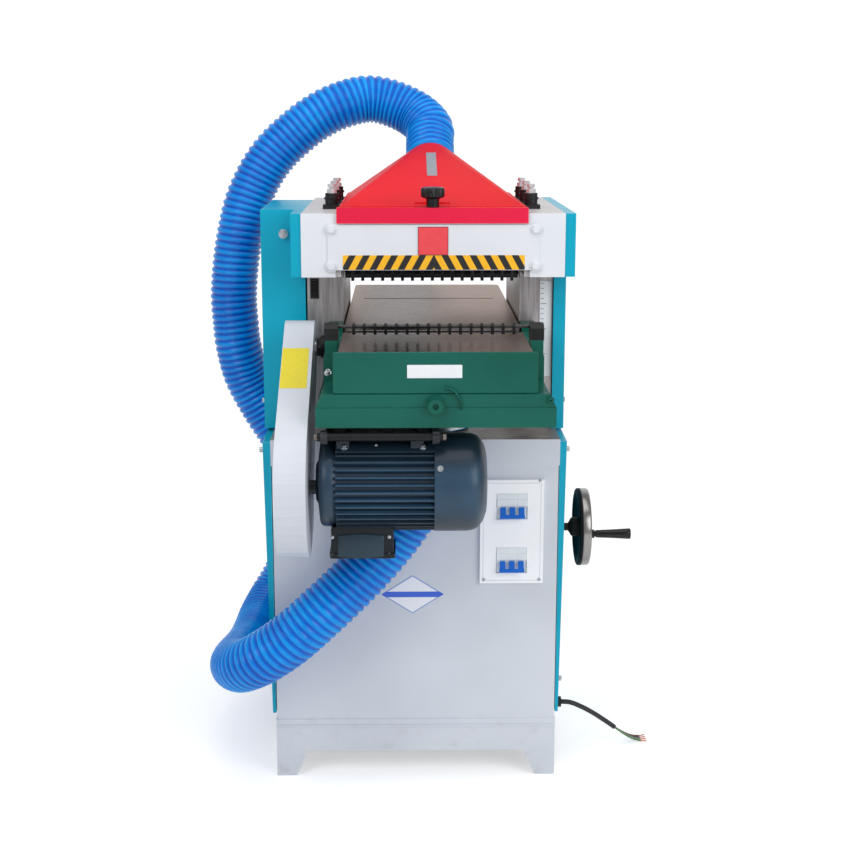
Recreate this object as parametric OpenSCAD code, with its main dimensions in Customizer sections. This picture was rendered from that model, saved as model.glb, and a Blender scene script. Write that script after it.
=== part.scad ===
// Small double-sided thickness planer.
// Origin: centre of the four anchor holes at floor level. +X right, +Y back, +Z up. Millimetres.

/* [Stand] */
// Width of the cabinet
cab_w = 560; // [540:10:580]
// Depth of the cabinet
cab_d = 540; // [530:5:550]
// Height of the base above the floor
base_h = 121; // [110:1:130]
// Height of the cabinet's top
cab_top = 696; // [690:1:700]
// Thickness of the sheet metal
sheet = 3; // [2:0.5:4]

/* [Working parts] */
// Height of the table's surface as photographed
table_z = 910; // [905:1:912]
// Centre of the planing throat, right of the cabinet's centre
throat_x = 33; // [32:1:34]
// Clear width between the columns
throat_w = 346; // [344:1:348]
// Diameter over the knives of the upper cutterhead
cutter_d = 72; // [66:2:72]
// Diameter of both feed rollers
roller_d = 52; // [46:2:52]
// Number of teeth round the serrated infeed roller
roller_teeth = 36; // [24:2:40]

/* [Front unit] */
// Height of the lower cutter shaft
low_z = 876; // [874:1:877]
// Diameter of the front motor's finned body
motor_d = 190; // [180:2:194]
// Number of cooling fins round the front motor
fin_count = 40; // [32:2:44]
// Number of fingers on the front rod
finger_count = 15; // [9:2:15]

/* [Handwheel and hose] */
// Diameter of the handwheel
wheel_d = 160; // [150:2:166]
// Outer diameter of the dust hose
hose_d = 105; // [95:1:105]
// Diameter of the mains lead
lead_d = 10; // [8:1:11]

/* [Hidden] */
$fn = 48;
eps = 0.05;
cab_x = cab_w / 2;
cab_y = cab_d / 2;
seam_z = 644;
skirt_z = 54;
foot_w = 40;
foot_flare = 22;
anchor_x = 257;
anchor_y = 247;
anchor_r = 6.5;
in_l = throat_x - throat_w / 2;
in_r = throat_x + throat_w / 2;
col_front = -160;
col_back = 226;
col_top = 1000;
head_l = -214;
head_r = 282;
head_top = 1129;
head_low = 1010;
plate_y = -274;
plate_t = 9;
head_y = plate_y + plate_t;
cut_y = -10;
cut_z = 1030;
cut_r = cutter_d / 2;
shaft_r = 12.5;
bearing_r = 26;
infeed_y = -130;
outfeed_y = 115;
roller_r = roller_d / 2;
roller_z = cut_z - cut_r - 1 + roller_r;
journal_r = 9;
run = 0.05;
belt_x0 = -268;
belt_w = 28;
cut_pulley_r = 42;
motor_pulley_r = 56;
main_y = 60;
main_z = 300;
chain_x = 286;
sprocket_r = 28;
table_l = in_l + 4;
table_r = in_r - 4;
table_front = -534;
mouth_front = -300;
mouth_back = -216;
seam_y = 196;
table_back = 461;
low_y = -259;
low_r = 33;
fm_y = -484;
fm_z = 657;
fm_x0 = -179;
fm_x1 = 129;
guard_x0 = -247;
guard_x1 = -191;
guard_top_r = 50;
guard_low_r = 125;
low_pulley_r = 36;
fm_pulley_r = 90;
screw_x = throat_x;
screw_y = -100;
screw_r = 12;
wheel_z = 472;
port_p = [36, 236, 1250];
port_u = [0, 0.77, 0.638];
port_r = 50;
port_tilt = -50.4;
low_port_x = 45;
low_port_y = -329;
low_port_z = 735;
rod_y = -378;
rod_z = 932;
rod_r = 6;
finger_pitch = 21;
upper_rod_y = -238;
upper_rod_z = 1045;
panel_x0 = 126;
panel_x1 = 250;
panel_z0 = 407;
panel_z1 = 616;
toggle_z = [563, 454];
toggle_x = 188;
toggle_y = -287;
adjuster_y = [-130, cut_y, 115];
adjuster_x = [-162, 228];
knob_y = -266;
knob_z = 1162;
gland_y = -170;
gland_z = 115;
hose_pts = [port_p, port_p + 40 * port_u, [6, 306, 1306], [-50, 325, 1332], [-105, 325, 1340],
    [-165, 310, 1325], [-215, 302, 1300], [-260, 298, 1267], [-305, 294, 1225], [-341, 290, 1175],
    [-370, 285, 1113], [-388, 282, 1043], [-400, 285, 972], [-406, 290, 902], [-404, 296, 845],
    [-400, 303, 791], [-384, 320, 715], [-346, 334, 635], [-305, 340, 565], [-280, 342, 500],
    [-268, 342, 430], [-268, 342, 360], [-280, 340, 300], [-305, 330, 240], [-336, 300, 190],
    [-354, 240, 165], [-360, 170, 155], [-364, 90, 156], [-368, 10, 166], [-370, -70, 182],
    [-370, -150, 200], [-362, -225, 220], [-338, -295, 246], [-296, -340, 280], [-240, -360, 325],
    [-180, -362, 380], [-120, -352, 436], [-62, -341, 498], [-14, -333, 562], [20, -329, 630],
    [low_port_x, low_port_y, 700], [low_port_x, low_port_y, low_port_z]];
lead_pts = [[302, gland_y, gland_z], [330, gland_y, gland_z], [360, -165, 98], [390, -155, 72],
    [418, -142, 46], [444, -128, 24], [468, -115, 12], [492, -104, 7]];

function unit(v) = v / norm(v);
function heading(a) = [cos(a), sin(a)];
function route_dir(p, i) = unit(p[min(i + 1, len(p) - 1)] - p[max(i - 1, 0)]);
function side_next(n, t) = unit(n - (n * t) * t);
function sides(p, n, i = 0) =
    i == len(p) ? [] : concat([side_next(n, route_dir(p, i))], sides(p, side_next(n, route_dir(p, i)), i + 1));
function ring(c, n, t, r, k) =
    [for (j = [0 : k - 1]) c + r * (cos(360 * j / k) * n + sin(360 * j / k) * cross(t, n))];
function wall_faces(m, k) = [for (i = [0 : m - 2], j = [0 : k - 1])
    [i * k + j, i * k + (j + 1) % k, (i + 1) * k + (j + 1) % k, (i + 1) * k + j]];

// A round bar along X, and the same bar along Z.
module bar_x(r, x0, x1, y, z) {
    translate([x0, y, z]) rotate([0, 90, 0]) cylinder(r = r, h = x1 - x0);
}
module bar_y(r, y0, y1, x, z) {
    translate([x, y1, z]) rotate([90, 0, 0]) cylinder(r = r, h = y1 - y0);
}
module bar_z(r, z0, z1, x, y) {
    translate([x, y, z0]) cylinder(r = r, h = z1 - z0);
}
// A box given by its two ends on each axis.
module block(x, y, z) {
    translate([x[0], y[0], z[0]]) cube([x[1] - x[0], y[1] - y[0], z[1] - z[0]]);
}
// An outline drawn in Y and Z, extruded along X.
module slab_x(x0, x1) {
    translate([x0, 0, 0]) rotate([90, 0, 90]) linear_extrude(x1 - x0) children();
}
// An outline drawn in X and Z, extruded along Y.
module slab_y(y0, y1) {
    translate([0, y1, 0]) rotate([90, 0, 0]) linear_extrude(y1 - y0) children();
}
// A tube of round section swept along a list of points, with its first ring turned to a given side.
module sweep(p, r, k, side) {
    n = sides(p, side);
    m = len(p);
    pts = [for (i = [0 : m - 1]) each ring(p[i], n[i], route_dir(p, i), r, k)];
    ends = [[for (j = [0 : k - 1]) j], [for (j = [k - 1 : -1 : 0]) (m - 1) * k + j]];
    polyhedron(pts, concat(ends, [for (f = wall_faces(m, k)) [f[3], f[2], f[1], f[0]]]));
}
// The outline of a taut belt round two pulleys: an arc on each, joined by the two tangents.
module belt_outline(a, ra, b, rb) {
    u = unit(b - a);
    half = acos((ra - rb) / norm(b - a));
    turn = atan2(u[1], u[0]);
    steps = 24;
    polygon(concat(
        [for (i = [0 : steps]) a + ra * heading(turn + half + (360 - 2 * half) * i / steps)],
        [for (i = [0 : steps]) b + rb * heading(turn - half + 2 * half * i / steps)]));
}
module belt(x0, x1, a, ra, b, rb, t) {
    slab_x(x0, x1) difference() {
        belt_outline(a, ra + t, b, rb + t);
        belt_outline(a, ra, b, rb);
    }
}
// A vee pulley: a turned wheel with two grooves.
module pulley(r, w, bore) {
    rotate([0, 90, 0]) rotate_extrude() polygon([[bore, 0], [r, 0], [r, 3], [r - 7, 6], [r - 7, 9],
        [r, w / 2 - 1], [r, w / 2 + 1], [r - 7, w - 9], [r - 7, w - 6], [r, w - 3], [r, w], [bore, w]]);
}

// Folded skirt with four feet and anchor holes in the feet's flanges.
module base_frame() {
    gap = [[-cab_x + foot_w, -1], [-cab_x + foot_w + foot_flare, skirt_z],
        [cab_x - foot_w - foot_flare, skirt_z], [cab_x - foot_w, -1]];
    color("#D3D9E1") difference() {
        union() {
            block([-cab_x, cab_x], [-cab_y, cab_y], [0, base_h]);
            block([-cab_x, cab_x], [-cab_y - 2, -cab_y], [base_h - 16, base_h - 12]);
        }
        block([-cab_x + sheet, cab_x - sheet], [-cab_y + sheet, cab_y - sheet], [6, base_h + 1]);
        block([-cab_x + foot_w, cab_x - foot_w], [-cab_y - 2, cab_y + 2], [-1, 7]);
        block([-cab_x - 2, cab_x + 2], [-cab_y + foot_w, cab_y - foot_w], [-1, 7]);
        slab_y(-cab_y - 5, cab_y + 5) polygon(gap);
        slab_x(-cab_x - 5, cab_x + 5) polygon([[-cab_y + foot_w, -1], [-cab_y + foot_w + foot_flare, skirt_z],
            [cab_y - foot_w - foot_flare, skirt_z], [cab_y - foot_w, -1]]);
        for (x = [-anchor_x, anchor_x], y = [-anchor_y, anchor_y]) bar_z(anchor_r, -1, 8, x, y);
    }
}

// Sheet cabinet with a floor for the motor, a shaft hole and a lead hole.
module cabinet_shell() {
    x = cab_x - 2;
    y = cab_y - 2;
    color("#D9DCE4") difference() {
        block([-x, x], [-y, y], [base_h, seam_z]);
        block([-x + sheet, x - sheet], [-y + sheet, y - sheet], [base_h + 5, seam_z + 1]);
        bar_x(15, cab_x - 20, cab_x + 5, screw_y, wheel_z);
    }
}

// Upper band with the plate that carries the columns.
module upper_frame() {
    plate_z = cab_top - 12;
    color("#D9DCE4") difference() {
        block([-cab_x, cab_x], [-cab_y, cab_y], [seam_z, cab_top]);
        block([-cab_x + sheet, cab_x - sheet], [-cab_y + sheet, cab_y - sheet], [seam_z - 1, plate_z]);
        bar_z(34, plate_z - 1, cab_top + 1, screw_x, screw_y);
        block([belt_x0 - 5, belt_x0 + belt_w + 5], [-60, 110], [plate_z - 1, cab_top + 1]);
    }
}

// Pressed side covers, deeper at the top than at the bottom, closed all round and hollow behind.
module side_pan(deep_top, deep_low) {
    z0 = 132;
    z1 = 690;
    difference() {
        slab_y(-262, 262) polygon([[0, z0], [deep_low, z0], [deep_top, z1], [0, z1]]);
        slab_y(-260, 260) polygon([[-1, z0 + 2], [deep_low - 2, z0 + 2], [deep_top - 2, z1 - 2], [-1, z1 - 2]]);
    }
}
module lower_cover_left() {
    color("#12A5C4") translate([-cab_x, 0, 0]) mirror([1, 0, 0]) side_pan(16, 7);
}
module lower_cover_right() {
    color("#12A5C4") difference() {
        translate([cab_x, 0, 0]) side_pan(14, 6);
        bar_x(30, cab_x - 5, cab_x + 20, screw_y, wheel_z);
    }
}

// Cast columns: a machined inner web with front and back flanges, and feet on the upper frame.
module column(x_in, x_out) {
    s = sign(x_out - x_in);
    web = x_in + s * 26;
    low = min(web, x_out + s);
    high = max(web, x_out + s);
    difference() {
        block([min(x_in, x_out), max(x_in, x_out)], [col_front, col_back], [cab_top, col_top]);
        block([low, high], [col_front + 24, -16], [cab_top + 30, col_top - 30]);
        block([low, high], [8, col_back - 24], [cab_top + 30, col_top - 30]);
    }
}
module column_left() {
    color("#9AA1A8") column(in_l, head_l + 3);
}
module column_right() {
    color("#9AA1A8") column(in_r, head_r - 11);
}

// Left drive cover: a sheet box over the main belt, with a cheek beside the head.
module drive_cover() {
    x0 = -300;
    color("#14AECB") difference() {
        union() {
            block([x0, head_l - 0.2], [-160, 150], [cab_top, head_top]);
            block([head_l - 20, head_l - 0.2], [-270, -160], [head_low, head_top]);
        }
        block([x0 + sheet, head_l + 1], [-157, 147], [cab_top - 1, head_top - sheet]);
        block([head_l - 18, head_l + 1], [-268, -150], [head_low + 2, head_top - 2]);
    }
}

// Right chain cover: a thin sheet box over the column, stepped out beside the head.
module chain_cover() {
    x0 = head_r + 0.2;
    x1 = 302;
    color("#14AECB") difference() {
        union() {
            block([x0, x1], [-270, 240], [head_low, head_top]);
            block([272, 296], [-170, 224], [cab_top, head_low + 1]);
        }
        block([x0 - 1, x1 - 2], [-268, 238], [head_low + 2, head_top - 2]);
        block([271, 294], [-168, 222], [cab_top + 2, head_low + 5]);
        block([271, x0], [-171, 227], [col_top - 1, head_low + 5]);
    }
}

// Head casting: two side walls and two cross beams, open below and above the cutterhead.
module head_casting() {
    color("#8F979F") difference() {
        union() {
            for (x = [[head_l, in_l], [in_r, head_r]]) {
                block(x, [head_y, col_front], [head_low, head_top]);
                block(x, [col_front, col_back], [col_top, head_top]);
            }
            block([in_l, in_r], [200, col_back], [1065, head_top]);
            block([in_l, in_r], [head_y, head_y + 16], [1066, head_top - 30]);
        }
        bar_x(bearing_r + run, head_l - 1, in_l + 1, cut_y, cut_z);
        bar_x(bearing_r + run, in_r - 1, head_r + 1, cut_y, cut_z);
        for (y = [infeed_y, outfeed_y]) {
            block([in_l - 28, in_l + 1], [y - 20.2, y + 20.2], [col_top - 1, 1062]);
            block([in_r - 1, in_r + 28], [y - 20.2, y + 20.2], [col_top - 1, 1062]);
            block([in_r + 20, head_r + 1], [y - 14, y + 14], [roller_z - 14, 1040]);
            for (x = adjuster_x) bar_z(6, 1050, head_top + 1, x, y);
        }
        for (x = [in_l - 9, in_r - 0.5]) bar_x(5, x, x + 9.5, upper_rod_y, upper_rod_z);
    }
}

// White front plate of the head with its shallow notch over the table.
module head_front_plate() {
    color("#DDE2E8") slab_y(plate_y, head_y) polygon([[head_l, head_low], [-150, head_low], [-150, 1023],
        [216, 1023], [216, head_low], [head_r, head_low], [head_r, head_top], [head_l, head_top]]);
}

// Bolted centre plate with a bare raised sign plate.
module centre_plate() {
    y = plate_y;
    color("#E1E5EA") union() {
        block([-164, 233], [y - 3, y], [1024, 1108]);
        block([5, 62], [y - 4.5, y - 2], [1052, 1105]);
        for (x = [-157, 226], z = [1031, 1100]) bar_y(6, y - 8, y - 1, x, z);
    }
}

// Sheet hood: a folded lip, a skirt and a funnel that rises to the dust port behind.
module funnel(inset) {
    hull() {
        block([-140 + inset, 205 - inset], [-252 + inset, 190 - inset], [1140, 1141]);
        translate(port_p - 62 * port_u) rotate([port_tilt, 0, 0]) cylinder(r = port_r - 2 - inset, h = 2, $fn = 32);
    }
}
module hood() {
    color("#E8252D") difference() {
        union() {
            funnel(0);
            block([-143, 209], [-252, 215], [head_top, 1141]);
            block([-147, 212], [plate_y - 6, -250], [1126, 1140]);
            block([-147, 212], [plate_y - 6, plate_y - 3.2], [1111, 1128]);
        }
        funnel(sheet);
        block([-137, 202], [-249, 187], [1128, 1141]);
        translate(port_p - 70 * port_u) rotate([port_tilt, 0, 0]) cylinder(r = port_r - 5, h = 20);
        block([-150, 215], [plate_y - 3.2, -249], [1110, head_top]);
        bar_z(4, 1130, 1180, throat_x, knob_y);
    }
}

// Steel spigot and clamp band that hold the hose on the hood.
module dust_port() {
    color("#AEB6BD") translate(port_p - 60 * port_u) rotate([port_tilt, 0, 0]) difference() {
        union() {
            cylinder(r = port_r, h = 60);
            translate([0, 0, 46]) cylinder(r = port_r + 4, h = 12);
            cylinder(r = port_r + 6, h = 3);
        }
        translate([0, 0, -1]) cylinder(r = port_r - 2, h = 62);
    }
}

// Six spring housings on the head, each a turned cup with a square flange.
module adjuster_housings() {
    color("#2E3134") for (x = adjuster_x, y = adjuster_y) difference() {
        union() {
            block([x - 17, x + 17], [y - 19, y + 19], [head_top, head_top + 8]);
            bar_z(13, head_top + 8, head_top + 30, x, y);
            bar_z(15, head_top + 18, head_top + 22, x, y);
        }
        bar_z(5 + eps, head_top - 1, head_top + 31, x, y);
    }
}
module adjuster_bolts() {
    color("#4A4E52") for (x = adjuster_x, y = adjuster_y) {
        bar_z(5, head_top, head_top + 48, x, y);
        translate([x, y, head_top + 30]) cylinder(r = 9.5, h = 8, $fn = 6);
        translate([x, y, head_top + 41]) cylinder(r = 8, h = 7, $fn = 6);
    }
}

// Bearings of the upper cutterhead, pressed into the head's walls.
module head_bearings() {
    color("#B8BEC4") for (x = [in_l - 24, in_r + 4]) difference() {
        bar_x(bearing_r, x, x + 20, cut_y, cut_z);
        bar_x(shaft_r + run, x - 1, x + 21, cut_y, cut_z);
    }
}

// Sliding blocks that carry the two feed rollers.
module roller_bearings() {
    color("#6C7278") for (y = [infeed_y, outfeed_y], x = [[in_l - 27, in_l - 1], [in_r + 1, in_r + 27]]) {
        difference() {
            block(x, [y - 20, y + 20], [roller_z - 17, roller_z + 24]);
            bar_x(journal_r + run, x[0] - 1, x[1] + 1, y, roller_z);
        }
    }
}

// Chip breaker ahead of the cutterhead and pressure bar behind it, hung from the head's walls.
module chip_breaker() {
    color("#70767C") slab_x(in_l, in_r) polygon([[-92, 1008], [-58, 998], [-54, 1000], [-60, 1020],
        [-62, 1085], [-76, 1085], [-80, 1022], [-92, 1012]]);
}
module pressure_bar() {
    color("#70767C") slab_x(in_l, in_r) polygon([[38, 998], [70, 998], [72, 1014], [58, 1020],
        [56, 1085], [44, 1085], [44, 1012]]);
}

// Main motor in the cabinet: a turned body on a foot plate.
module main_motor() {
    color("#2F4353") difference() {
        union() {
            bar_x(78, -170, 90, main_y, main_z);
            bar_x(70, -196, 120, main_y, main_z);
            for (a = [0 : 15 : 345]) translate([-165, main_y, main_z]) rotate([a, 0, 0])
                block([0, 240], [-1.5, 1.5], [70, 86]);
            block([-150, 70], [main_y - 75, main_y + 75], [base_h + 17, base_h + 25]);
            for (x = [-140, 40]) block([x, x + 20], [main_y - 50, main_y + 50], [base_h + 24, main_z - 55]);
            block([-150, 70], [main_y - 75, main_y + 75], [base_h + 5, base_h + 18]);
        }
        bar_x(shaft_r + run, -200, -100, main_y, main_z);
    }
}
module main_belt() {
    color("#1B1C1E") belt(belt_x0 + 2, belt_x0 + belt_w - 2, [cut_y, cut_z], cut_pulley_r + 0.4,
        [main_y, main_z], motor_pulley_r + 0.4, 6);
}
module feed_chain() {
    color("#55585C") belt(chain_x, chain_x + 6, [infeed_y, roller_z], sprocket_r + 0.4,
        [outfeed_y, roller_z], sprocket_r + 0.4, 5);
}

// Electric panel: a proud plate with two windows for the breakers.
module electric_panel() {
    y = -cab_y + 2;
    color("#E9EDF2") difference() {
        block([panel_x0, panel_x1], [y - 8, y], [panel_z0, panel_z1]);
        for (z = toggle_z) block([toggle_x - 30, toggle_x + 30], [y - 9, y + 1], [z - 26, z + 26]);
    }
}
module breaker_bodies() {
    y = -cab_y + 2;
    color("#F2F4F6") for (z = toggle_z) difference() {
        union() {
            block([toggle_x - 29.5, toggle_x + 29.5], [y - 8, y], [z - 25.5, z + 25.5]);
            block([toggle_x - 28, toggle_x + 28], [y - 14, y - 7], [z - 15, z + 15]);
        }
        block([toggle_x - 27, toggle_x + 27], [y - 23, y - 6.5], [z - 11, z + 11]);
    }
}
// Three linked breaker levers on one barrel.
module toggle(z) {
    color("#2F7FDD") union() {
            bar_x(4, toggle_x - 26, toggle_x + 26, toggle_y + 8, z);
            for (i = [-1 : 1]) translate([toggle_x + 18 * i, toggle_y + 8, z]) rotate([30, 0, 0])
                block([-6, 6], [-14, 0], [-2.5, 2.5]);
            translate([toggle_x, toggle_y + 8, z]) rotate([30, 0, 0]) block([-24, 24], [-12, -9], [-2, 2]);
    }
}
module toggle_upper() {
    toggle(toggle_z[0]);
}
module toggle_lower() {
    toggle(toggle_z[1]);
}

// Graduated strip on the right column, left without figures.
module height_scale() {
    color("#D6DCE2") difference() {
        block([236, 262], [col_front - 1.5, col_front], [800, 990]);
        for (z = [810 : 10 : 980]) block([240, z % 50 == 0 ? 256 : 249], [col_front - 2, col_front - 1], [z, z + 1]);
    }
}

// Flange bearing of the handwheel's shaft on the cabinet's right wall.
module handwheel_bearing() {
    color("#3A3E42") difference() {
        union() {
            bar_x(24, cab_x - 2, cab_x + 22, screw_y, wheel_z);
            bar_x(28, cab_x - 2, cab_x + 4, screw_y, wheel_z);
        }
        bar_x(11 + run, cab_x - 3, cab_x + 23, screw_y, wheel_z);
    }
}
// Pedestal that holds the foot of the lifting screw.
module screw_bearing() {
    color("#5A6066") difference() {
        union() {
            block([screw_x - 40, screw_x + 40], [screw_y - 40, screw_y + 20], [base_h + 5, base_h + 17]);
            bar_z(24, base_h + 17, base_h + 60, screw_x, screw_y);
        }
        bar_z(screw_r + run, base_h + 25, base_h + 61, screw_x, screw_y);
    }
}
module cable_gland() {
    color("#202226") union() {
        bar_x(11, cab_x, lead_pts[0][0], gland_y, gland_z);
        translate([cab_x, gland_y, gland_z]) rotate([0, 90, 0]) cylinder(r = 14, h = 7, $fn = 6);
    }
}

// The dust hose from the hood round the back and left side to the lower head, as one plain tube.
module dust_hose() {
    color("#1E7BE6") sweep(hose_pts, hose_d / 2 - eps, 12, [1, 0, 0]);
}
// The mains lead with its bare end on the floor.
module mains_lead() {
    color("#1A1B1D") sweep(lead_pts, lead_d / 2, 8, [0, 0, 1]);
}

// Knob on the hood: a lobed grip on a round stem.
module hood_knob() {
    color("#1C1D20") translate([throat_x, knob_y, 0]) union() {
        bar_z(4 - run, 1132, 1142, 0, 0);
        bar_z(13, 1141, 1150, 0, 0);
        difference() {
            bar_z(20.5, 1150, 1177, 0, 0);
            for (a = [0 : 60 : 300]) bar_z(5, 1149, 1178, 24 * cos(a), 24 * sin(a));
        }
    }
}

// Lifting screw with its bevel gear below the nut.
module lift_screw() {
    color("#A9AFB5") union() {
        bar_z(screw_r, base_h + 26, 800, screw_x, screw_y);
        translate([screw_x, screw_y, wheel_z - 30]) cylinder(r1 = 29, r2 = 15, h = 14);
        bar_z(20, base_h + 61, base_h + 70, screw_x, screw_y);
    }
}

// Handwheel on its shaft, with a bevel gear on the shaft's inner end.
module handwheel() {
    x0 = 334;
    rim_r = wheel_d / 2 - 9;
    color("#B9BEC3") union() {
        bar_x(11, screw_x + 17, 362, screw_y, wheel_z);
        translate([screw_x + 17, screw_y, wheel_z]) rotate([0, 90, 0]) cylinder(r1 = 15, r2 = 28, h = 13);
        bar_x(20, 330, 366, screw_y, wheel_z);
        translate([x0 + 14, screw_y, wheel_z]) rotate([0, 90, 0]) rotate_extrude($fn = 64)
            translate([rim_r, 0]) circle(9);
        for (a = [30, 150, 270]) translate([x0 + 12, screw_y, wheel_z]) rotate([a, 0, 0])
            block([-5, 7], [-9, 9], [15, rim_r]);
        translate([x0 + 12, screw_y, wheel_z]) rotate([-90, 0, 0]) block([-6, 8], [-12, 12], [15, rim_r - 6]);
        bar_x(6, x0 + 10, 440, screw_y - 54, wheel_z);
        bar_x(10, x0 + 10, x0 + 32, screw_y - 54, wheel_z);
    }
}
module handle_grip() {
    color("#1A1B1E") translate([368, screw_y - 54, wheel_z]) rotate([0, 90, 0]) union() {
        rotate_extrude() polygon([[6.1, 0], [8, 0], [8.5, 6], [8, 30], [9.5, 55], [13, 70], [12.5, 78],
            [8, 81], [0, 81], [0, 73], [6.1, 73]]);
    }
}

// Upper cutterhead with three knife seats, its knives and its pulley.
module cutterhead() {
    color("#9CA3AA") difference() {
        union() {
            bar_x(cut_r - 2, in_l + 8, in_r - 8, cut_y, cut_z);
            bar_x(shaft_r, belt_x0 - 4, chain_x + 8, cut_y, cut_z);
            bar_x(18, in_l + 2, in_r - 2, cut_y, cut_z);
        }
        for (a = [0 : 120 : 240]) translate([0, cut_y, cut_z]) rotate([a, 0, 0])
            block([in_l + 7, in_r - 7], [-14, 3], [cut_r - 16, cut_r + 1]);
    }
}
module cutter_knives() {
    color("#C9CED3") for (a = [0 : 120 : 240]) translate([0, cut_y, cut_z]) rotate([a, 0, 0])
        slab_x(in_l + 10, in_r - 10) polygon([[3, cut_r - 16], [3, cut_r - 0.5], [-1, cut_r - 3],
            [-4, cut_r - 3], [-11, cut_r - 8], [-11, cut_r - 16]]);
}
module cutter_pulley() {
    color("#565C62") translate([belt_x0, cut_y, cut_z]) pulley(cut_pulley_r, belt_w, shaft_r);
}

// Serrated infeed roller and smooth outfeed roller, each with a sprocket in the chain cover.
module sprocket(y) {
    n = 18;
    slab_x(chain_x, chain_x + 6) translate([y, roller_z]) polygon([for (i = [0 : 2 * n - 1])
        (i % 2 == 0 ? sprocket_r : sprocket_r - 6) * [cos(180 * i / n), sin(180 * i / n)]]);
}
module roller_shaft(y) {
    bar_x(journal_r, in_l - 27, chain_x + 8, y, roller_z);
    sprocket(y);
}
module infeed_roller() {
    color("#5B6167") union() {
        roller_shaft(infeed_y);
        slab_x(in_l + 3, in_r - 3) translate([infeed_y, roller_z]) polygon([for (i = [0 : 2 * roller_teeth - 1])
            (i % 2 == 0 ? roller_r : roller_r - 2.5) * [cos(180 * i / roller_teeth), sin(180 * i / roller_teeth)]]);
    }
}
module outfeed_roller() {
    color("#B4BAC0") union() {
        roller_shaft(outfeed_y);
        bar_x(roller_r, in_l + 3, in_r - 3, outfeed_y, roller_z);
    }
}

// Shaft and pulley of the main motor.
module motor_rotor() {
    color("#565C62") union() {
        bar_x(shaft_r, belt_x0 - 2, -101, main_y, main_z);
        translate([belt_x0, main_y, main_z]) pulley(motor_pulley_r, belt_w, shaft_r - 1);
    }
}

// Anti-kickback fingers under the head, on their own rod.
module upper_fingers() {
    color("#3C4044") union() {
        bar_x(5 - run, in_l - 8, in_r + 8, upper_rod_y, upper_rod_z);
        for (i = [-8 : 8]) slab_x(throat_x + 19 * i - 3, throat_x + 19 * i + 3) polygon([
            [upper_rod_y - 9, upper_rod_z + 6], [upper_rod_y + 9, upper_rod_z + 6],
            [upper_rod_y + 9, upper_rod_z - 10], [upper_rod_y + 14, upper_rod_z - 40],
            [upper_rod_y + 2, upper_rod_z - 46], [upper_rod_y - 9, upper_rod_z - 12]]);
    }
}

// Main table: a ribbed casting between the columns with a mouth at its front edge.
module table() {
    color("#C6CBD0") difference() {
        union() {
            block([table_l, table_r], [mouth_back, seam_y], [table_z - 25, table_z]);
            for (x = [table_l, throat_x - 62, throat_x + 50, table_r - 12])
                block([x, x + 12], [-164, seam_y], [table_z - 50, table_z - 24]);
            for (y = [-164, -40, 70, seam_y - 12])
                block([table_l, table_r], [y, y + 12], [table_z - 50, table_z - 24]);
        }
        translate([0, mouth_back, table_z]) rotate([45, 0, 0]) block([table_l - 1, table_r + 1], [-4, 4], [-4, 4]);
    }
}
// Rear extension, bolted to the table's back, with clipped corners and the slot at its seam.
module rear_extension() {
    y0 = seam_y;
    c = 10;
    color("#C6CBD0") difference() {
        union() {
            translate([0, 0, table_z - 20]) linear_extrude(20) polygon([[table_l, y0], [table_r, y0],
                [table_r, table_back - c], [table_r - c, table_back], [table_l + c, table_back],
                [table_l, table_back - c]]);
            for (x = [table_l + 20, throat_x - 5, table_r - 30]) slab_x(x, x + 10)
                polygon([[y0, table_z - 19], [y0, table_z - 60], [y0 + 20, table_z - 60], [table_back - 20, table_z - 19]]);
            block([table_l + 10, table_r - 10], [y0, y0 + 12], [table_z - 60, table_z - 19]);
        }
        block([throat_x - 142, throat_x + 142], [y0 - 1, y0 + 8], [table_z - 8, table_z + 1]);
    }
}
// Long bronze nut tube that hangs from the table and runs on the lifting screw.
module lift_nut() {
    color("#B08A4A") difference() {
        union() {
            bar_z(24, 620, table_z - 25, screw_x, screw_y);
            bar_z(44, table_z - 37, table_z - 25, screw_x, screw_y);
        }
        bar_z(screw_r + run, 619, 700, screw_x, screw_y);
        bar_z(screw_r + 3, 699, table_z - 26, screw_x, screw_y);
    }
}

// Lower head: the green casting with its rim, side arms, shaft bosses and chip chamber.
module lower_head() {
    back = -165;
    color("#1B675B") difference() {
        union() {
            block([-176, 244], [table_front - 6, back], [777, 812]);
            slab_y(table_front - 4, back) polygon([[-176, 811], [244, 811], [232, 836], [-164, 836]]);
            block([-145, 211], [table_front, back], [811, 880]);
            block([-145, 211], [mouth_back, back], [879, table_z - 25]);
            block([-168, table_l - 3], [-232, back], [811, table_z + 2]);
            block([table_r + 4, 234], [-232, back], [811, table_z + 2]);
            for (x = [[-168, -144], [210, 234]]) block(x, [rod_y - 22, rod_y + 22], [811, 880]);
            for (x = [[-165, -138], [206, 228]]) bar_x(28, x[0], x[1], low_y, low_z);
            bar_y(16, table_front - 16, table_front + 1, throat_x, 818);
        }
        block([-125, 191], [table_front + 20, -185], [789, 881]);
        bar_x(low_r + 6, table_l, table_r, low_y, low_z);
        block([table_l - 3, table_r + 4], [-285, mouth_back - 1], [table_z - 27, table_z + 3]);
        bar_x(shaft_r + run, -180, 240, low_y, low_z);
        bar_z(port_r - 2, 770, 800, low_port_x, low_port_y);
        bar_y(9 + run, table_front - 17, table_front + 21, throat_x, 818);
    }
}
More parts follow.
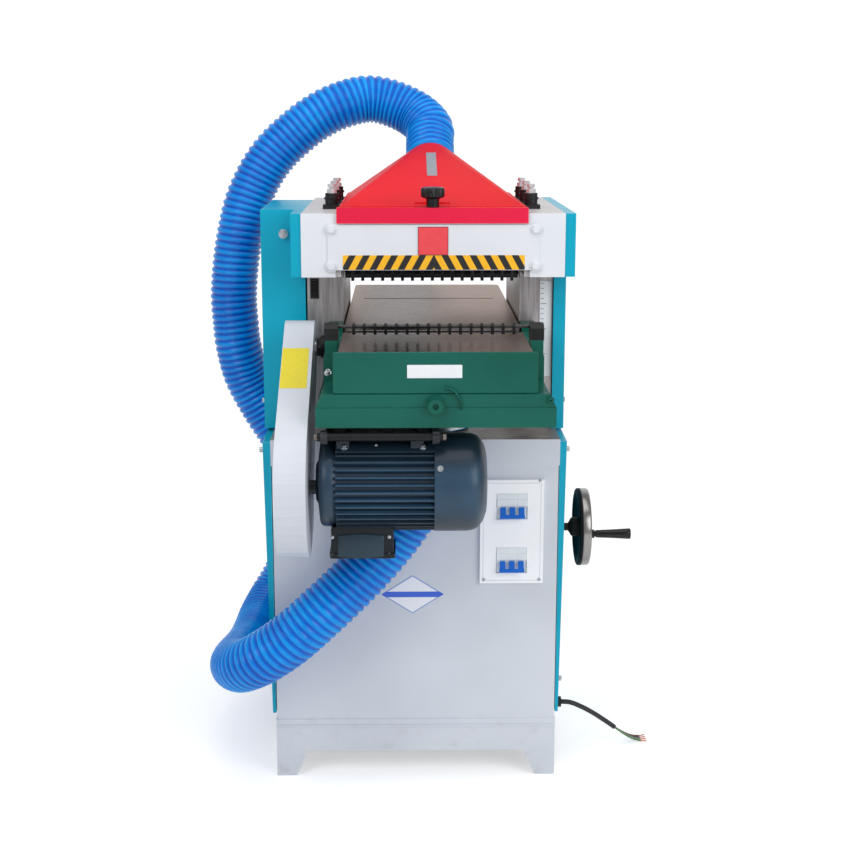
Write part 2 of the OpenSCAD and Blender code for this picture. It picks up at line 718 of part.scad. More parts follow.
// Adjustable infeed table of the lower head, a plate with two guide ribs.
module infeed_table() {
    color("#C6CBD0") difference() {
        union() {
            block([table_l, table_r], [table_front, mouth_front], [table_z - 24, table_z - 0.5]);
            for (x = [-100, 150]) block([x, x + 14], [table_front + 30, mouth_front - 20], [830, table_z - 23]);
        }
        translate([0, mouth_front, table_z]) rotate([45, 0, 0]) block([table_l - 1, table_r + 1], [-4, 4], [-4, 4]);
    }
}
// Lower cutterhead with its knives and the pulley in the belt guard.
module lower_cutterhead() {
    color("#9CA3AA") union() {
        difference() {
            union() {
                bar_x(low_r - 2, table_l + 6, table_r - 6, low_y, low_z);
                bar_x(shaft_r, -234, 226, low_y, low_z);
            }
            for (a = [0 : 120 : 240]) translate([0, low_y, low_z]) rotate([a + 60, 0, 0])
                block([table_l + 5, table_r - 5], [-12, 3], [low_r - 13, low_r + 1]);
        }
        for (a = [0 : 120 : 240]) translate([0, low_y, low_z]) rotate([a + 60, 0, 0])
            block([table_l + 8, table_r - 8], [0, 3], [low_r - 13.5, low_r - 0.6]);
        translate([-234, low_y, low_z]) pulley(low_pulley_r, belt_w, shaft_r - 1);
    }
}

// Belt guard: a closed sheet box round both pulleys, leaning forward and down to the motor.
module belt_guard() {
    top = [low_y, low_z];
    low = [fm_y, fm_z];
    color("#DCE2E9") difference() {
        slab_x(guard_x0, guard_x1) belt_outline(top, guard_top_r, low, guard_low_r);
        slab_x(guard_x0 + 2.5, guard_x1 - 2.5) belt_outline(top, guard_top_r - 2.5, low, guard_low_r - 2.5);
        bar_x(shaft_r + 3, guard_x1 - 5, guard_x1 + 1, low_y, low_z);
        bar_x(shaft_r + 4, guard_x1 - 5, guard_x1 + 1, fm_y, fm_z);
    }
}
module lower_belt() {
    color("#1B1C1E") belt(-232, -208, [low_y, low_z], low_pulley_r + 0.4, [fm_y, fm_z], fm_pulley_r + 0.4, 6);
}

// Front motor: finned body, two end bells, a domed fan cowl and a terminal box below.
module front_motor() {
    r = motor_d / 2;
    color("#2F4353") difference() {
        union() {
            translate([fm_x0, fm_y, fm_z]) rotate([0, 90, 0]) rotate_extrude() polygon([[0, 0], [34, 0],
                [40, 4], [86, 8], [92, 14], [92, 26], [84, 29], [84, 256 - 18], [r + 2, 256 - 18],
                [r + 2, 290], [88, 302], [60, 308], [0, 308]]);
            for (i = [0 : fin_count - 1]) translate([fm_x0 + 28, fm_y, fm_z]) rotate([360 * i / fin_count, 0, 0])
                block([0, 212], [-1.6, 1.6], [80, r]);
            block([-155, -32], [fm_y - 45, fm_y + 45], [500, 578]);
            for (x = [-140, -10]) block([x, x + 22], [fm_y - 50, fm_y + 50], [fm_z + 60, 755]);
        }
        bar_x(shaft_r + run, fm_x0 - 1, fm_x0 + 60, fm_y, fm_z);
        for (i = [0 : 7]) translate([fm_x1 - 3, fm_y, fm_z]) rotate([45 * i, 0, 0])
            block([0, 5], [-4, 4], [18, 54]);
    }
}
module front_rotor() {
    color("#565C62") union() {
        bar_x(shaft_r, -236, fm_x0 + 59, fm_y, fm_z);
        translate([-234, fm_y, fm_z]) pulley(fm_pulley_r, belt_w, shaft_r - 1);
    }
}
// Hinged plate that hangs the front motor from the lower head.
module motor_mount() {
    color("#26343F") union() {
        block([-160, 60], [fm_y - 60, fm_y + 62], [755, 767]);
        for (x = [-150, -60, 30]) block([x, x + 20], [fm_y - 40, fm_y + 40], [766, 777]);
        bar_x(8, -176, 76, fm_y - 62, 766);
    }
}

// Rod for the front fingers and the two blocks that hold it.
module finger_rod() {
    color("#1E2023") union() {
        bar_x(rod_r, -164, 230, rod_y, rod_z);
        for (x = [[-166, table_l - 4], [table_r + 4, 234]]) block(x, [rod_y - 20, rod_y + 20], [880, rod_z + 10]);
    }
}
// Row of pointed fingers that hang on the rod and let the board pass one way.
module front_fingers() {
    first = throat_x - finger_pitch * (finger_count - 1) / 2;
    color("#2A2D30") for (i = [0 : finger_count - 1]) difference() {
        slab_x(first + finger_pitch * i - 4, first + finger_pitch * i + 4) union() {
            translate([rod_y, rod_z]) circle(11);
            polygon([[rod_y - 11, rod_z], [rod_y + 2, rod_z - 20], [rod_y + 9, rod_z - 18], [rod_y + 11, rod_z]]);
        }
        bar_x(rod_r + run, first + finger_pitch * i - 5, first + finger_pitch * i + 5, rod_y, rod_z);
    }
}
// Screw on the front of the lower head that sets the infeed table's height.
module front_screw() {
    color("#3B4A46") difference() {
        union() {
            bar_y(9, table_front - 24, table_front + 18, throat_x, 818);
            bar_y(13, table_front - 26, table_front - 17, throat_x, 818);
        }
        translate([throat_x, table_front - 20, 818]) rotate([90, 0, 0]) cylinder(r = 6, h = 8, $fn = 6);
    }
}
// Spigot and clamp band under the lower head for the hose's other end.
module lower_port() {
    color("#AEB6BD") difference() {
        union() {
            bar_z(port_r, low_port_z, 777, low_port_x, low_port_y);
            bar_z(port_r + 3, low_port_z + 2, low_port_z + 14, low_port_x, low_port_y);
        }
        bar_z(port_r - 2, low_port_z - 1, 778, low_port_x, low_port_y);
    }
}
// Red pointer on the right arm that reads against the scale.
module height_pointer() {
    color("#D8222B") slab_y(-165, -163.2) polygon([[226, 874], [250, 880], [254, 883], [250, 886], [226, 890]]);
}

base_frame();
cabinet_shell();
upper_frame();
lower_cover_left();
lower_cover_right();
column_left();
column_right();
drive_cover();
chain_cover();
head_casting();
head_front_plate();
centre_plate();
hood();
dust_port();
adjuster_housings();
adjuster_bolts();
head_bearings();
roller_bearings();
chip_breaker();
pressure_bar();
main_motor();
main_belt();
feed_chain();
electric_panel();
breaker_bodies();
height_scale();
handwheel_bearing();
screw_bearing();
cable_gland();
dust_hose();
mains_lead();
hood_knob();
toggle_upper();
toggle_lower();
lift_screw();
handwheel();
handle_grip();
cutterhead();
cutter_knives();
cutter_pulley();
infeed_roller();
outfeed_roller();
motor_rotor();
upper_fingers();
table();
rear_extension();
lift_nut();
lower_head();
infeed_table();
lower_cutterhead();
belt_guard();
lower_belt();
front_motor();
front_rotor();
motor_mount();
finger_rod();
front_fingers();
front_screw();
lower_port();
height_pointer();
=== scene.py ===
# A small double-sided thickness planer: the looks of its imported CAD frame, built up piece by piece.
import math

import bmesh
import bpy
import numpy as np
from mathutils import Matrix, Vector
from mathutils.bvhtree import BVHTree


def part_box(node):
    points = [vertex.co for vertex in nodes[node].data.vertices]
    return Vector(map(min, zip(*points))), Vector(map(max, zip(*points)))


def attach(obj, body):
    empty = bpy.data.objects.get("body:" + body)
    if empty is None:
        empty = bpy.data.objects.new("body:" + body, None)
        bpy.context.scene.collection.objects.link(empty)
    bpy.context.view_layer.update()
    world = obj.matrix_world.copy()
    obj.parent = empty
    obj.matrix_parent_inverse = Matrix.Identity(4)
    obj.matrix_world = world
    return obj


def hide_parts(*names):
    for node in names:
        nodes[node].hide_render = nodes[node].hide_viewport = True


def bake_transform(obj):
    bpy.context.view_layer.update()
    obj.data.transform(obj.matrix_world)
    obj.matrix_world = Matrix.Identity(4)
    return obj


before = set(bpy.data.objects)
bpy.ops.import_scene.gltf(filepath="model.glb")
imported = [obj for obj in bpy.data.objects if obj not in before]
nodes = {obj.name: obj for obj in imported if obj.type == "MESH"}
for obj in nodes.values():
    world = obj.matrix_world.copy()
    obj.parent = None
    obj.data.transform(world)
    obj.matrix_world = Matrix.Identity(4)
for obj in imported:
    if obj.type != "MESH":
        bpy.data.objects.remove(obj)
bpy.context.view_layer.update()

scene = bpy.context.scene
scene.view_settings.view_transform = "Standard"

# ---------------------------------------------------------------- Photograph and camera
# The photograph was taken from a little above the table, square to the front, from about three
# metres. These are the only picture coordinates: where things show in its 850 by 850 frame.
PHOTO_W = 850
PHOTO_H = 850
image_points = {
    "left": (262, None), "right": (631, None), "top": (None, 143), "bottom": (None, 776),
    "cabinet_corner": (269, 439.5), "head_corner": (300.2, 213.8), "hood_plate": (431.5, 164.0),
    "sign_plate": (432.5, 240.0), "hazard_stripe": (433.5, 262.5), "plate_bolt": (330.7, 229.2),
    "drive_cover_bolt": (283.6, 233.3), "column_wiper": (314.5, 288.5), "guard_label": (294.5, 368.0),
    "setting_label": (434.7, 371.5), "pad_screw": (344.0, 450.6), "terminal_lid": (361.0, 546.0),
    "diamond": (412.5, 594.3), "panel_screw": (540.5, 480.5), "cover_bolt": (568.0, 450.0),
    "handwheel": (584.0, 527.0),
}
camera_place = (-0.021, -3.094, 1.327)
camera_down = math.radians(12.04)
camera_right = math.radians(0.8)
camera_lens = 63.5

camera_data = bpy.data.cameras.new("camera")
camera_data.sensor_fit = "AUTO"
camera_data.lens = camera_lens
camera = bpy.data.objects.new("camera", camera_data)
camera.location = camera_place
camera.rotation_euler = (math.pi / 2 - camera_down, 0, -camera_right)
scene.collection.objects.link(camera)
scene.camera = camera
bpy.context.view_layer.update()
long_side = max(PHOTO_W, PHOTO_H)
reach = long_side * camera_data.lens / camera_data.sensor_width


def photo_ray(x, y):
    """The ray from the camera through a point of the photograph.

    It runs along (x - W/2 + shift, H/2 - y + shift, -L * lens / sensor) in the camera's own axes.
    """
    aim = Vector((x - PHOTO_W / 2 + camera_data.shift_x * long_side,
                  PHOTO_H / 2 - y + camera_data.shift_y * long_side, -reach))
    return camera.location, (camera.matrix_world.to_3x3() @ aim).normalized()


def in_photo(points):
    """Where points of the scene show in the photograph, by the same rule backwards."""
    turn = np.array(camera.matrix_world.to_3x3())
    seen = (points - np.array(camera.location)) @ turn
    right, up = seen[:, 0] / seen[:, 2], seen[:, 1] / seen[:, 2]
    return np.stack((PHOTO_W / 2 - right * reach, PHOTO_H / 2 + up * reach), 1)


def finished(thing):
    """A piece's finished points and triangles, as arrays."""
    shape = thing.evaluated_get(bpy.context.evaluated_depsgraph_get()).to_mesh()
    shape.calc_loop_triangles()
    points = np.empty(3 * len(shape.vertices))
    shape.vertices.foreach_get("co", points)
    corners = np.empty(3 * len(shape.loop_triangles), dtype=np.int32)
    shape.loop_triangles.foreach_get("vertices", corners)
    return points.reshape(-1, 3), corners.reshape(-1, 3)


def tree_of(*things):
    """A search tree over the finished triangles of these pieces, in the shared frame."""
    points, faces, count = [], [], 0
    for thing in things:
        more, corners = finished(thing)
        points += more.tolist()
        faces += (corners + count).tolist()
        count += len(more)
    return BVHTree.FromPolygons(points, faces)


def place_on(name, *carriers):
    """Where the ray through a named image point meets its carriers, and the way they face there.

    A ray that misses takes the place nearest to it.
    """
    start, aim = photo_ray(*image_points[name])
    carriers = [nodes[c] if isinstance(c, str) else c for c in carriers]
    tree = tree_of(*carriers)
    place, out, _, _ = tree.ray_cast(start, aim)
    if place is None:
        near = [tree.find_nearest(start + aim * far) for far in np.linspace(2.0, 4.0, 101).tolist()]
        place, out, _, _ = min(near, key=lambda found: found[3])
    return np.array(place), np.array(out)


# Which pieces show at each image point, and which part of what shows of them is meant.
shown = {}


def middle(span):
    return (span.min() + span.max()) / 2


# ---------------------------------------------------------------- Floor, backdrop and light
# A white studio sweep that runs flat under the machine and curves up behind it, and broad soft
# lamps from the left, the right and overhead, as in a catalogue picture.
FLOOR_FRONT = -6.0
FLOOR_BACK = 3.0
SWEEP_RADIUS = 1.2
SWEEP_TOP = 5.0
SWEEP_HALF_WIDTH = 7.0


def grid_mesh(name, grid, wrap=False, capped=False, smooth=True):
    """A mesh over points in an array (copies, rows, columns, 3), or without copies for one.

    Each cell of four neighbours is a face. A wrapped grid joins its last column to its first, and a
    capped one closes its first and last rows with one face each.
    """
    grid = grid.reshape(-1, *grid.shape[-3:])
    index = np.arange(grid[..., 0].size).reshape(grid.shape[:3])
    ends = index[:, 0, ::-1].tolist() + index[:, -1].tolist()
    if wrap:
        index = np.concatenate((index, index[..., :1]), 2)
    cells = np.stack((index[:, :-1, :-1], index[:, :-1, 1:], index[:, 1:, 1:], index[:, 1:, :-1]), -1)
    mesh = bpy.data.meshes.new(name)
    mesh.from_pydata(grid.reshape(-1, 3).tolist(), [], cells.reshape(-1, 4).tolist() + (ends if capped else []))
    mesh.polygons.foreach_set("use_smooth", np.full(len(mesh.polygons), smooth))
    mesh.update()
    piece = bpy.data.objects.new(name, mesh)
    scene.collection.objects.link(piece)
    return piece


bend = np.linspace(0, math.pi / 2, 17)
sweep_y = np.concatenate(([FLOOR_FRONT], FLOOR_BACK + SWEEP_RADIUS * np.sin(bend), [FLOOR_BACK + SWEEP_RADIUS]))
sweep_z = np.concatenate(([0], SWEEP_RADIUS * (1 - np.cos(bend)), [SWEEP_TOP]))
sweep_x = np.linspace(SWEEP_HALF_WIDTH, -SWEEP_HALF_WIDTH, 3)
backdrop = grid_mesh("backdrop", np.stack(np.broadcast_arrays(sweep_x[:, None], sweep_y, sweep_z), -1))


class Value:
    """A shader value that does maths: each operator adds the Math node that works it out."""

    def __init__(self, finish, socket):
        self.finish = finish
        self.socket = socket

    def maths(self, operation, first, second=None):
        made = self.finish.node("ShaderNodeMath", {"operation": operation}, first, second)
        return Value(self.finish, made.outputs[0])

    def __add__(self, other):
        return self.maths("ADD", self, other)

    def __sub__(self, other):
        return self.maths("SUBTRACT", self, other)

    def __rsub__(self, other):
        return self.maths("SUBTRACT", other, self)

    def __mul__(self, other):
        return self.maths("MULTIPLY", self, other)

    def __truediv__(self, other):
        return self.maths("DIVIDE", self, other)

    __radd__ = __add__
    __rmul__ = __mul__

    def absolute(self):
        return self.maths("ABSOLUTE", self)

    def root(self):
        return self.maths("SQRT", self)

    def fraction(self):
        return self.maths("FRACT", self)

    def smaller(self, other):
        return self.maths("MINIMUM", self, other)

    def larger(self, other):
        return self.maths("MAXIMUM", self, other)

    def fade(self, low, high):
        """0 below low, 1 above high and a smooth step between."""
        made = self.finish.node("ShaderNodeMapRange", {"interpolation_type": "SMOOTHSTEP"}, self, low, high, 0.0, 1.0)
        return Value(self.finish, made.outputs[0])


def linear(colour):
    """A colour written as red, green and blue from 0 to 255, as linear light."""
    share = np.array(colour) / 255
    light = np.where(share <= 0.04045, share / 12.92, ((share + 0.055) / 1.055) ** 2.4)
    return (*light.tolist(), 1.0)


class Finish:
    """One material on a Principled shader, and the one method that makes its other nodes."""

    def __init__(self, name, colour, roughness, metallic=0.0, coat=0.0, coat_roughness=0.1, shine=0.5):
        self.material = bpy.data.materials.new(name)
        self.material.use_nodes = True
        self.tree = self.material.node_tree
        self.shader = self.tree.nodes["Principled BSDF"]
        fixed = {"Base Color": linear(colour), "Roughness": roughness, "Metallic": metallic,
                 "Coat Weight": coat, "Coat Roughness": coat_roughness, "Specular IOR Level": shine}
        for slot, value in fixed.items():
            self.shader.inputs[slot].default_value = value
        self.where = self.node("ShaderNodeTexCoord", {}).outputs["Object"]
        parts = self.node("ShaderNodeSeparateXYZ", {}, self.where).outputs
        self.axes = [Value(self, part) for part in parts]

    def feed(self, slot, value):
        """Links a socket to a slot, or sets the slot to a plain number or colour."""
        value = value.socket if isinstance(value, Value) else value
        if isinstance(value, bpy.types.NodeSocket):
            self.tree.links.new(value, slot)
        elif value is not None:
            slot.default_value = value

    def node(self, kind, settings, *inputs, **named):
        """Adds a node: its settings first, then its inputs in order or by name."""
        made = self.tree.nodes.new(kind)
        for key, value in settings.items():
            setattr(made, key, value)
        for slot, value in [*zip(made.inputs, inputs), *((made.inputs[k], v) for k, v in named.items())]:
            self.feed(slot, value)
        return made

    def set(self, name, value):
        self.feed(self.shader.inputs[name], value)

    def noise(self, scale, detail=3.0, stretch=None):
        """Cloudy noise over the piece, its grain stretched by a factor on each axis."""
        where = self.where
        if stretch:
            where = self.node("ShaderNodeMapping", {}, where, Scale=stretch).outputs[0]
        made = self.node("ShaderNodeTexNoise", {}, Vector=where, Scale=scale, Detail=detail)
        return Value(self, made.outputs["Fac"])

    def blend(self, mask, below, above):
        """A colour that goes from below to above as the mask goes from 0 to 1: each a socket, or red, green, blue."""
        made = self.node("ShaderNodeMix", {"data_type": "RGBA"})
        ends = [linear(end) if isinstance(end, (tuple, list)) else end for end in (below, above)]
        for slot, value in zip((made.inputs[0], made.inputs[6], made.inputs[7]), (mask, *ends)):
            self.feed(slot, value)
        return made.outputs[2]

    def colours(self, mask, low, high):
        """Colours the surface from low to high as the mask goes from 0 to 1."""
        self.set("Base Color", self.blend(mask, low, high))

    def overprint(self, mask, colour):
        """Lays one more colour over those that the surface already has."""
        self.colours(mask, self.shader.inputs["Base Color"].links[0].from_socket, colour)

    def bump(self, height, distance):
        self.set("Normal", self.node("ShaderNodeBump", {}, Height=height, Distance=distance).outputs[0])

    def edge_of(self, box):
        """The distance from a box's nearest edge: the middle one of the distances from its three pairs of faces."""
        a, b, c = ((v - float(low)).smaller(float(high) - v) for v, low, high in zip(self.axes, *box))
        return a.smaller(b).larger(a.larger(b).smaller(c))


def dress(finish, *pieces):
    """Puts one finish on these pieces or CAD nodes."""
    for piece in pieces:
        thing = nodes[piece] if isinstance(piece, str) else piece
        thing.data.materials.clear()
        thing.data.materials.append(finish.material)


def fit(carrier, slot, *pieces):
    """Says which body these pieces ride on. The slot is not used."""
    for piece in pieces:
        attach(piece, carrier)


studio_white = Finish("studio_white", (240, 241, 242), 0.9)
path = studio_white.node("ShaderNodeLightPath", {}).outputs
glow = studio_white.node("ShaderNodeEmission", {}, (1.0, 1.0, 1.0, 1.0), 0.42)
show = studio_white.node("ShaderNodeAddShader", {}, studio_white.shader.outputs[0], glow.outputs[0])
plainly_seen = Value(studio_white, path["Is Camera Ray"]).larger(Value(studio_white, path["Is Glossy Ray"]))
choice = studio_white.node("ShaderNodeMixShader", {}, plainly_seen, studio_white.shader.outputs[0], show.outputs[0])
studio_white.tree.links.new(choice.outputs[0], studio_white.tree.nodes["Material Output"].inputs[0])
dress(studio_white, backdrop)

world = bpy.data.worlds.new("studio")
world.use_nodes = True
world.node_tree.nodes["Background"].inputs[0].default_value = (1.0, 1.0, 1.0, 1.0)
world.node_tree.nodes["Background"].inputs[1].default_value = 0.5
scene.world = world


def soft_lamp(name, place, size, power):
    """A square soft box at a place, turned to face the middle of the machine."""
    data = bpy.data.lights.new(name, "AREA")
    data.size = size
    data.energy = power
    lamp = bpy.data.objects.new(name, data)
    lamp.location = place
    lamp.rotation_euler = (Vector((0, 0, 0.75)) - Vector(place)).to_track_quat("-Z", "Y").to_euler()
    scene.collection.objects.link(lamp)


soft_lamp("key_light", (-2.2, -3.2, 2.9), 2.2, 50)
soft_lamp("fill_light", (2.6, -3.0, 2.1), 2.4, 56)
soft_lamp("top_light", (0.2, -0.6, 3.6), 2.4, 30)

# ---------------------------------------------------------------- Dust hose
# A four-inch spiral hose of clear blue PVC, wound as one rounded rib. It runs from the hood's
# neck, whose spigot it covers, round the back, down and forward along the left side, and up to the lower head.
# The route repeats the CAD tube's points.
hose_diameter = 0.1049
hose_pitch = 0.0144
hose_rib = 0.0044
port_way = np.array((0, 0.77, 0.638))
port_end = np.array((0.036, 0.236, 1.250))
hose_start = port_end - 0.061 * port_way
hose_route = np.vstack((hose_start, port_end - 0.030 * port_way, port_end, port_end + 0.040 * port_way, [
    (0.006, 0.306, 1.306), (-0.050, 0.325, 1.332), (-0.105, 0.325, 1.340),
    (-0.165, 0.310, 1.325), (-0.215, 0.302, 1.300), (-0.260, 0.298, 1.267), (-0.305, 0.294, 1.225),
    (-0.341, 0.290, 1.175), (-0.370, 0.285, 1.113), (-0.388, 0.282, 1.043), (-0.400, 0.285, 0.972),
    (-0.406, 0.290, 0.902), (-0.404, 0.296, 0.845), (-0.400, 0.303, 0.791), (-0.384, 0.320, 0.715),
    (-0.346, 0.334, 0.635), (-0.305, 0.340, 0.565), (-0.280, 0.342, 0.500), (-0.268, 0.342, 0.430),
    (-0.268, 0.342, 0.360), (-0.280, 0.340, 0.300), (-0.305, 0.330, 0.240), (-0.336, 0.300, 0.190),
    (-0.354, 0.240, 0.165), (-0.360, 0.170, 0.155), (-0.364, 0.090, 0.156), (-0.368, 0.010, 0.166),
    (-0.370, -0.070, 0.182), (-0.370, -0.150, 0.200), (-0.362, -0.225, 0.220), (-0.338, -0.295, 0.246),
    (-0.296, -0.340, 0.280), (-0.240, -0.360, 0.325), (-0.180, -0.362, 0.380), (-0.120, -0.352, 0.436),
    (-0.062, -0.341, 0.498), (-0.014, -0.333, 0.562), (0.020, -0.329, 0.630), (0.045, -0.329, 0.700),
    (0.045, -0.329, 0.735)]))


def smooth_route(route, step):
    """A curve through the route's points, evenly spaced, and how far along it each of its points is.

    Each span is a Catmull-Rom cubic: the slope at a point is half the way from the point before it
    to the one after.
    """
    ends = np.vstack((2 * route[0] - route[1], route, 2 * route[-1] - route[-2]))
    before, start, stop, after = (ends[i:len(ends) - 3 + i, None] for i in range(4))
    t = np.linspace(0, 1, 24, endpoint=False)[None, :, None]
    curve = 0.5 * (2 * start + (stop - before) * t + (2 * before - 5 * start + 4 * stop - after) * t ** 2
                   + (3 * start - before - 3 * stop + after) * t ** 3)
    curve = np.vstack((curve.reshape(-1, 3), route[-1]))
    run = np.concatenate(([0], np.cumsum(np.linalg.norm(np.diff(curve, axis=0), axis=1))))
    even = np.linspace(0, run[-1], max(2, round(run[-1] / step) + 1))
    return np.stack([np.interp(even, run, curve[:, i]) for i in range(3)], 1), even


def outward(piece, merge=1e-6):
    """Merges doubled points and turns every face of a closed piece outwards."""
    work = bmesh.new()
    work.from_mesh(piece.data)
    bmesh.ops.remove_doubles(work, verts=work.verts, dist=merge)
    bmesh.ops.recalc_face_normals(work, faces=work.faces)
    work.to_mesh(piece.data)
    work.free()
    return piece


def tube(name, curve, radius, round_steps, side):
    """A round skin on a curve: curve + radius * (cos a * first + sin a * second).

    The first side starts as given and is carried along with as little turning as it can have; radius
    is one number or an array of (along, round).
    """
    along = np.gradient(curve, axis=0)
    along /= np.linalg.norm(along, axis=1, keepdims=True)
    first = []
    side = np.array(side, dtype=float)
    for way in along:
        side = side - way * np.dot(side, way)
        side = side / np.linalg.norm(side)
        first.append(side)
    first = np.array(first)
    second = np.cross(along, first)
    turn = np.linspace(0, 2 * math.pi, round_steps, endpoint=False)[None, :, None]
    radius = np.broadcast_to(radius, (len(curve), round_steps))[..., None]
    grid = curve[:, None] + radius * (np.cos(turn) * first[:, None] + np.sin(turn) * second[:, None])
    return outward(grid_mesh(name, grid, wrap=True, capped=True))


hose_curve, hose_run = smooth_route(hose_route, hose_pitch / 6)
hose_length = float(hose_run[-1])
# The rib is a rounded wave along the hose that climbs by one pitch in each turn round it.
hose_turn = np.linspace(0, 2 * math.pi, 40, endpoint=False)
wave = np.cos(2 * math.pi * hose_run[:, None] / hose_pitch - hose_turn)
from_end = np.clip(np.minimum(hose_run, hose_length - hose_run) / hose_pitch, 0, 1)[:, None]
sunk = hose_rib * (0.5 - 0.5 * wave) ** 1.5 * from_end
neck = 0.008 * np.exp(-(hose_run / 0.002) ** 2)[:, None]
dust_hose = tube("blue_dust_hose", hose_curve, hose_diameter / 2 - sunk - neck, 40, (1, 0, 0))

# The thick rib is paler and the thin web between its turns is darker, so each point keeps its depth: partly the PVC's
# own tone, partly painted shade in the grooves and a painted highlight on the rib.
rib_height = dust_hose.data.attributes.new("rib", "FLOAT", "POINT")
rib_height.data.foreach_set("value", (1 - sunk / hose_rib).ravel())

hose_pvc = Finish("blue_pvc", (0, 118, 222), 0.16, coat=0.08, coat_roughness=0.05, shine=0.2)
cloud = hose_pvc.noise(14.0)
rib = Value(hose_pvc, hose_pvc.node("ShaderNodeAttribute", {"attribute_name": "rib"}).outputs["Fac"]).fade(0.15, 0.95)
web_and_groove_shade = hose_pvc.blend(cloud.fade(0.3, 0.75), (0, 84, 190), (0, 104, 210))
spiral = hose_pvc.blend(cloud.fade(0.3, 0.75), (0, 128, 220), (4, 154, 236))
hose_pvc.colours(rib, web_and_groove_shade, spiral)
hose_pvc.set("Roughness", 0.16 + 0.16 * cloud)
dress(hose_pvc, dust_hose)
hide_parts("dust_hose", "dust_port")
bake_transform(dust_hose)

# ---------------------------------------------------------------- Mains lead
# A short stub of black rubber four-core cable out of the gland at the cabinet's lower right corner.
# Its jacket is cut back and the four insulated cores fan out, each with a bare copper end.
lead_diameter = 0.010
jacket_end = 0.420
lead_route = np.array([(0.302, -0.170, 0.115), (0.322, -0.170, 0.113), (0.345, -0.166, 0.102),
    (0.372, -0.158, 0.084), (0.400, -0.149, 0.062), (0.428, -0.137, 0.038), (0.455, -0.122, 0.018),
    (0.476, -0.111, 0.009), (0.492, -0.104, 0.007)])
lead_curve, lead_run = smooth_route(lead_route, 0.002)
covered = lead_curve[:, 0] <= jacket_end
jacket_curve = lead_curve[covered]
mains_lead = tube("black_mains_lead", jacket_curve, lead_diameter / 2, 20, (0, 0, 1))

jacket_rubber = Finish("black_rubber", (30, 30, 33), 0.55)
grime = jacket_rubber.noise(60.0, 4.0)
jacket_rubber.colours(grime.fade(0.35, 0.8), (22, 22, 25), (44, 43, 42))
jacket_rubber.set("Roughness", 0.45 + 0.25 * grime)
jacket_rubber.bump(grime, 0.0003)
dress(jacket_rubber, mains_lead)
fit("stand", "rubber", mains_lead)
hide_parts("mains_lead")

core_colours = {"brown": (112, 62, 38), "black": (34, 33, 35), "grey": (126, 130, 126), "green": (70, 118, 62)}
core_spread = np.linspace(0.016, -0.016, 4)
core_start = lead_curve[~covered]
core_share = np.linspace(0, 1, len(core_start))[:, None]
bare_from = int(0.86 * len(core_start))
copper = Finish("bare_copper_strand", (190, 104, 66), 0.35, metallic=1.0)
strands = copper.noise(900.0, 2.0, stretch=(0.2, 1, 1))
copper.colours(strands, (170, 86, 52), (214, 128, 84))
copper.bump(strands, 0.0002)
lead_pieces = []
for (word, colour), spread in zip(core_colours.items(), core_spread):
    # A core leaves the jacket beside its neighbours and bows out to its own place on the floor.
    offset = np.array((0, spread, 0)) * (0.12 + 0.88 * core_share ** 1.4) - np.array((0, 0, 0.003)) * core_share
    line = core_start + offset
    line[:, 2] = np.maximum(line[:, 2], 0.0032)
    core = tube("mains_core_" + word, line[:bare_from], 0.0018, 12, (0, 0, 1))
    bare = tube("copper_end_" + word, line[bare_from - 2:], 0.0012, 10, (0, 0, 1))
    skin = Finish("core_insulation_" + word, colour, 0.4)
    scuff = skin.noise(140.0, 3.0)
    skin.colours(scuff.fade(0.4, 0.8), colour, [0.75 * c + 50 for c in colour])
    skin.set("Roughness", 0.32 + 0.2 * scuff)
    dress(skin, core)
    dress(copper, bare)
    fit("stand", "rubber", core, bare)
    lead_pieces += [core, bare]

# ---------------------------------------------------------------- Base and cabinet
# Folded and welded sheet steel on four feet, stoved in pale grey gloss: a skirt, a cabinet and an
# upper band, with a recess of two millimetres at each seam between them.
grey_low = (200, 205, 214)
grey_high = (210, 215, 223)


def painted(name, low, high, rough=0.34, peel=0.00012, peel_scale=420.0, box=None, coat=0.05, shine=0.2):
    """Stoved gloss paint: slow clouding, orange peel, pale edges that are partly wear and partly painted highlight,
    dust low down.
    """
    finish = Finish(name, low, rough, coat=coat, coat_roughness=0.12, shine=shine)
    cloud = finish.noise(3.5)
    shade = finish.blend(cloud.fade(0.3, 0.7), low, high)
    if box is not None:
        # Along the box's edges the paint turns paler: partly thin worn paint, partly a painted highlight where edges
        # catch the light.
        edge_wear_and_highlight = (finish.noise(55.0, 4.0) * 0.0026 - finish.edge_of(box)).fade(0.0, 0.0008) * 0.45
        shade = finish.blend(edge_wear_and_highlight, shade, [0.6 * c + 95 for c in high])
    dust = finish.noise(38.0, 5.0).fade(0.5, 0.85) * (1 - finish.axes[2].fade(0.0, 0.22)) * 0.3
    finish.colours(dust, shade, (150, 145, 136))
    finish.set("Roughness", rough + 0.1 * cloud + 0.25 * dust)
    finish.bump(finish.noise(peel_scale, 2.0), peel)
    return finish


def paint_nodes(low, high, *names, **more):
    """Paints each of these CAD nodes, with wear and a painted highlight along its own edges, and gives back the last
    one's paint.
    """
    for name in names:
        paint = painted(name + "_paint", low, high, box=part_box(name), **more)
        dress(paint, name)
    return paint


grey_paint = paint_nodes(grey_low, grey_high, "base_frame", "cabinet_shell", "upper_frame")
# The band's top plate carries the columns and is left ground, with oil stains.
paint_ends, ground_starts = 0.6952, 0.6958
stain = grey_paint.noise(16.0, 4.0)
bare = grey_paint.blend(stain.fade(0.3, 0.7), (120, 112, 108), (168, 160, 156))
grey_paint.overprint(grey_paint.axes[2].fade(paint_ends, ground_starts), bare)
shown["cabinet_corner"] = (["upper_frame"], np.min, np.min)

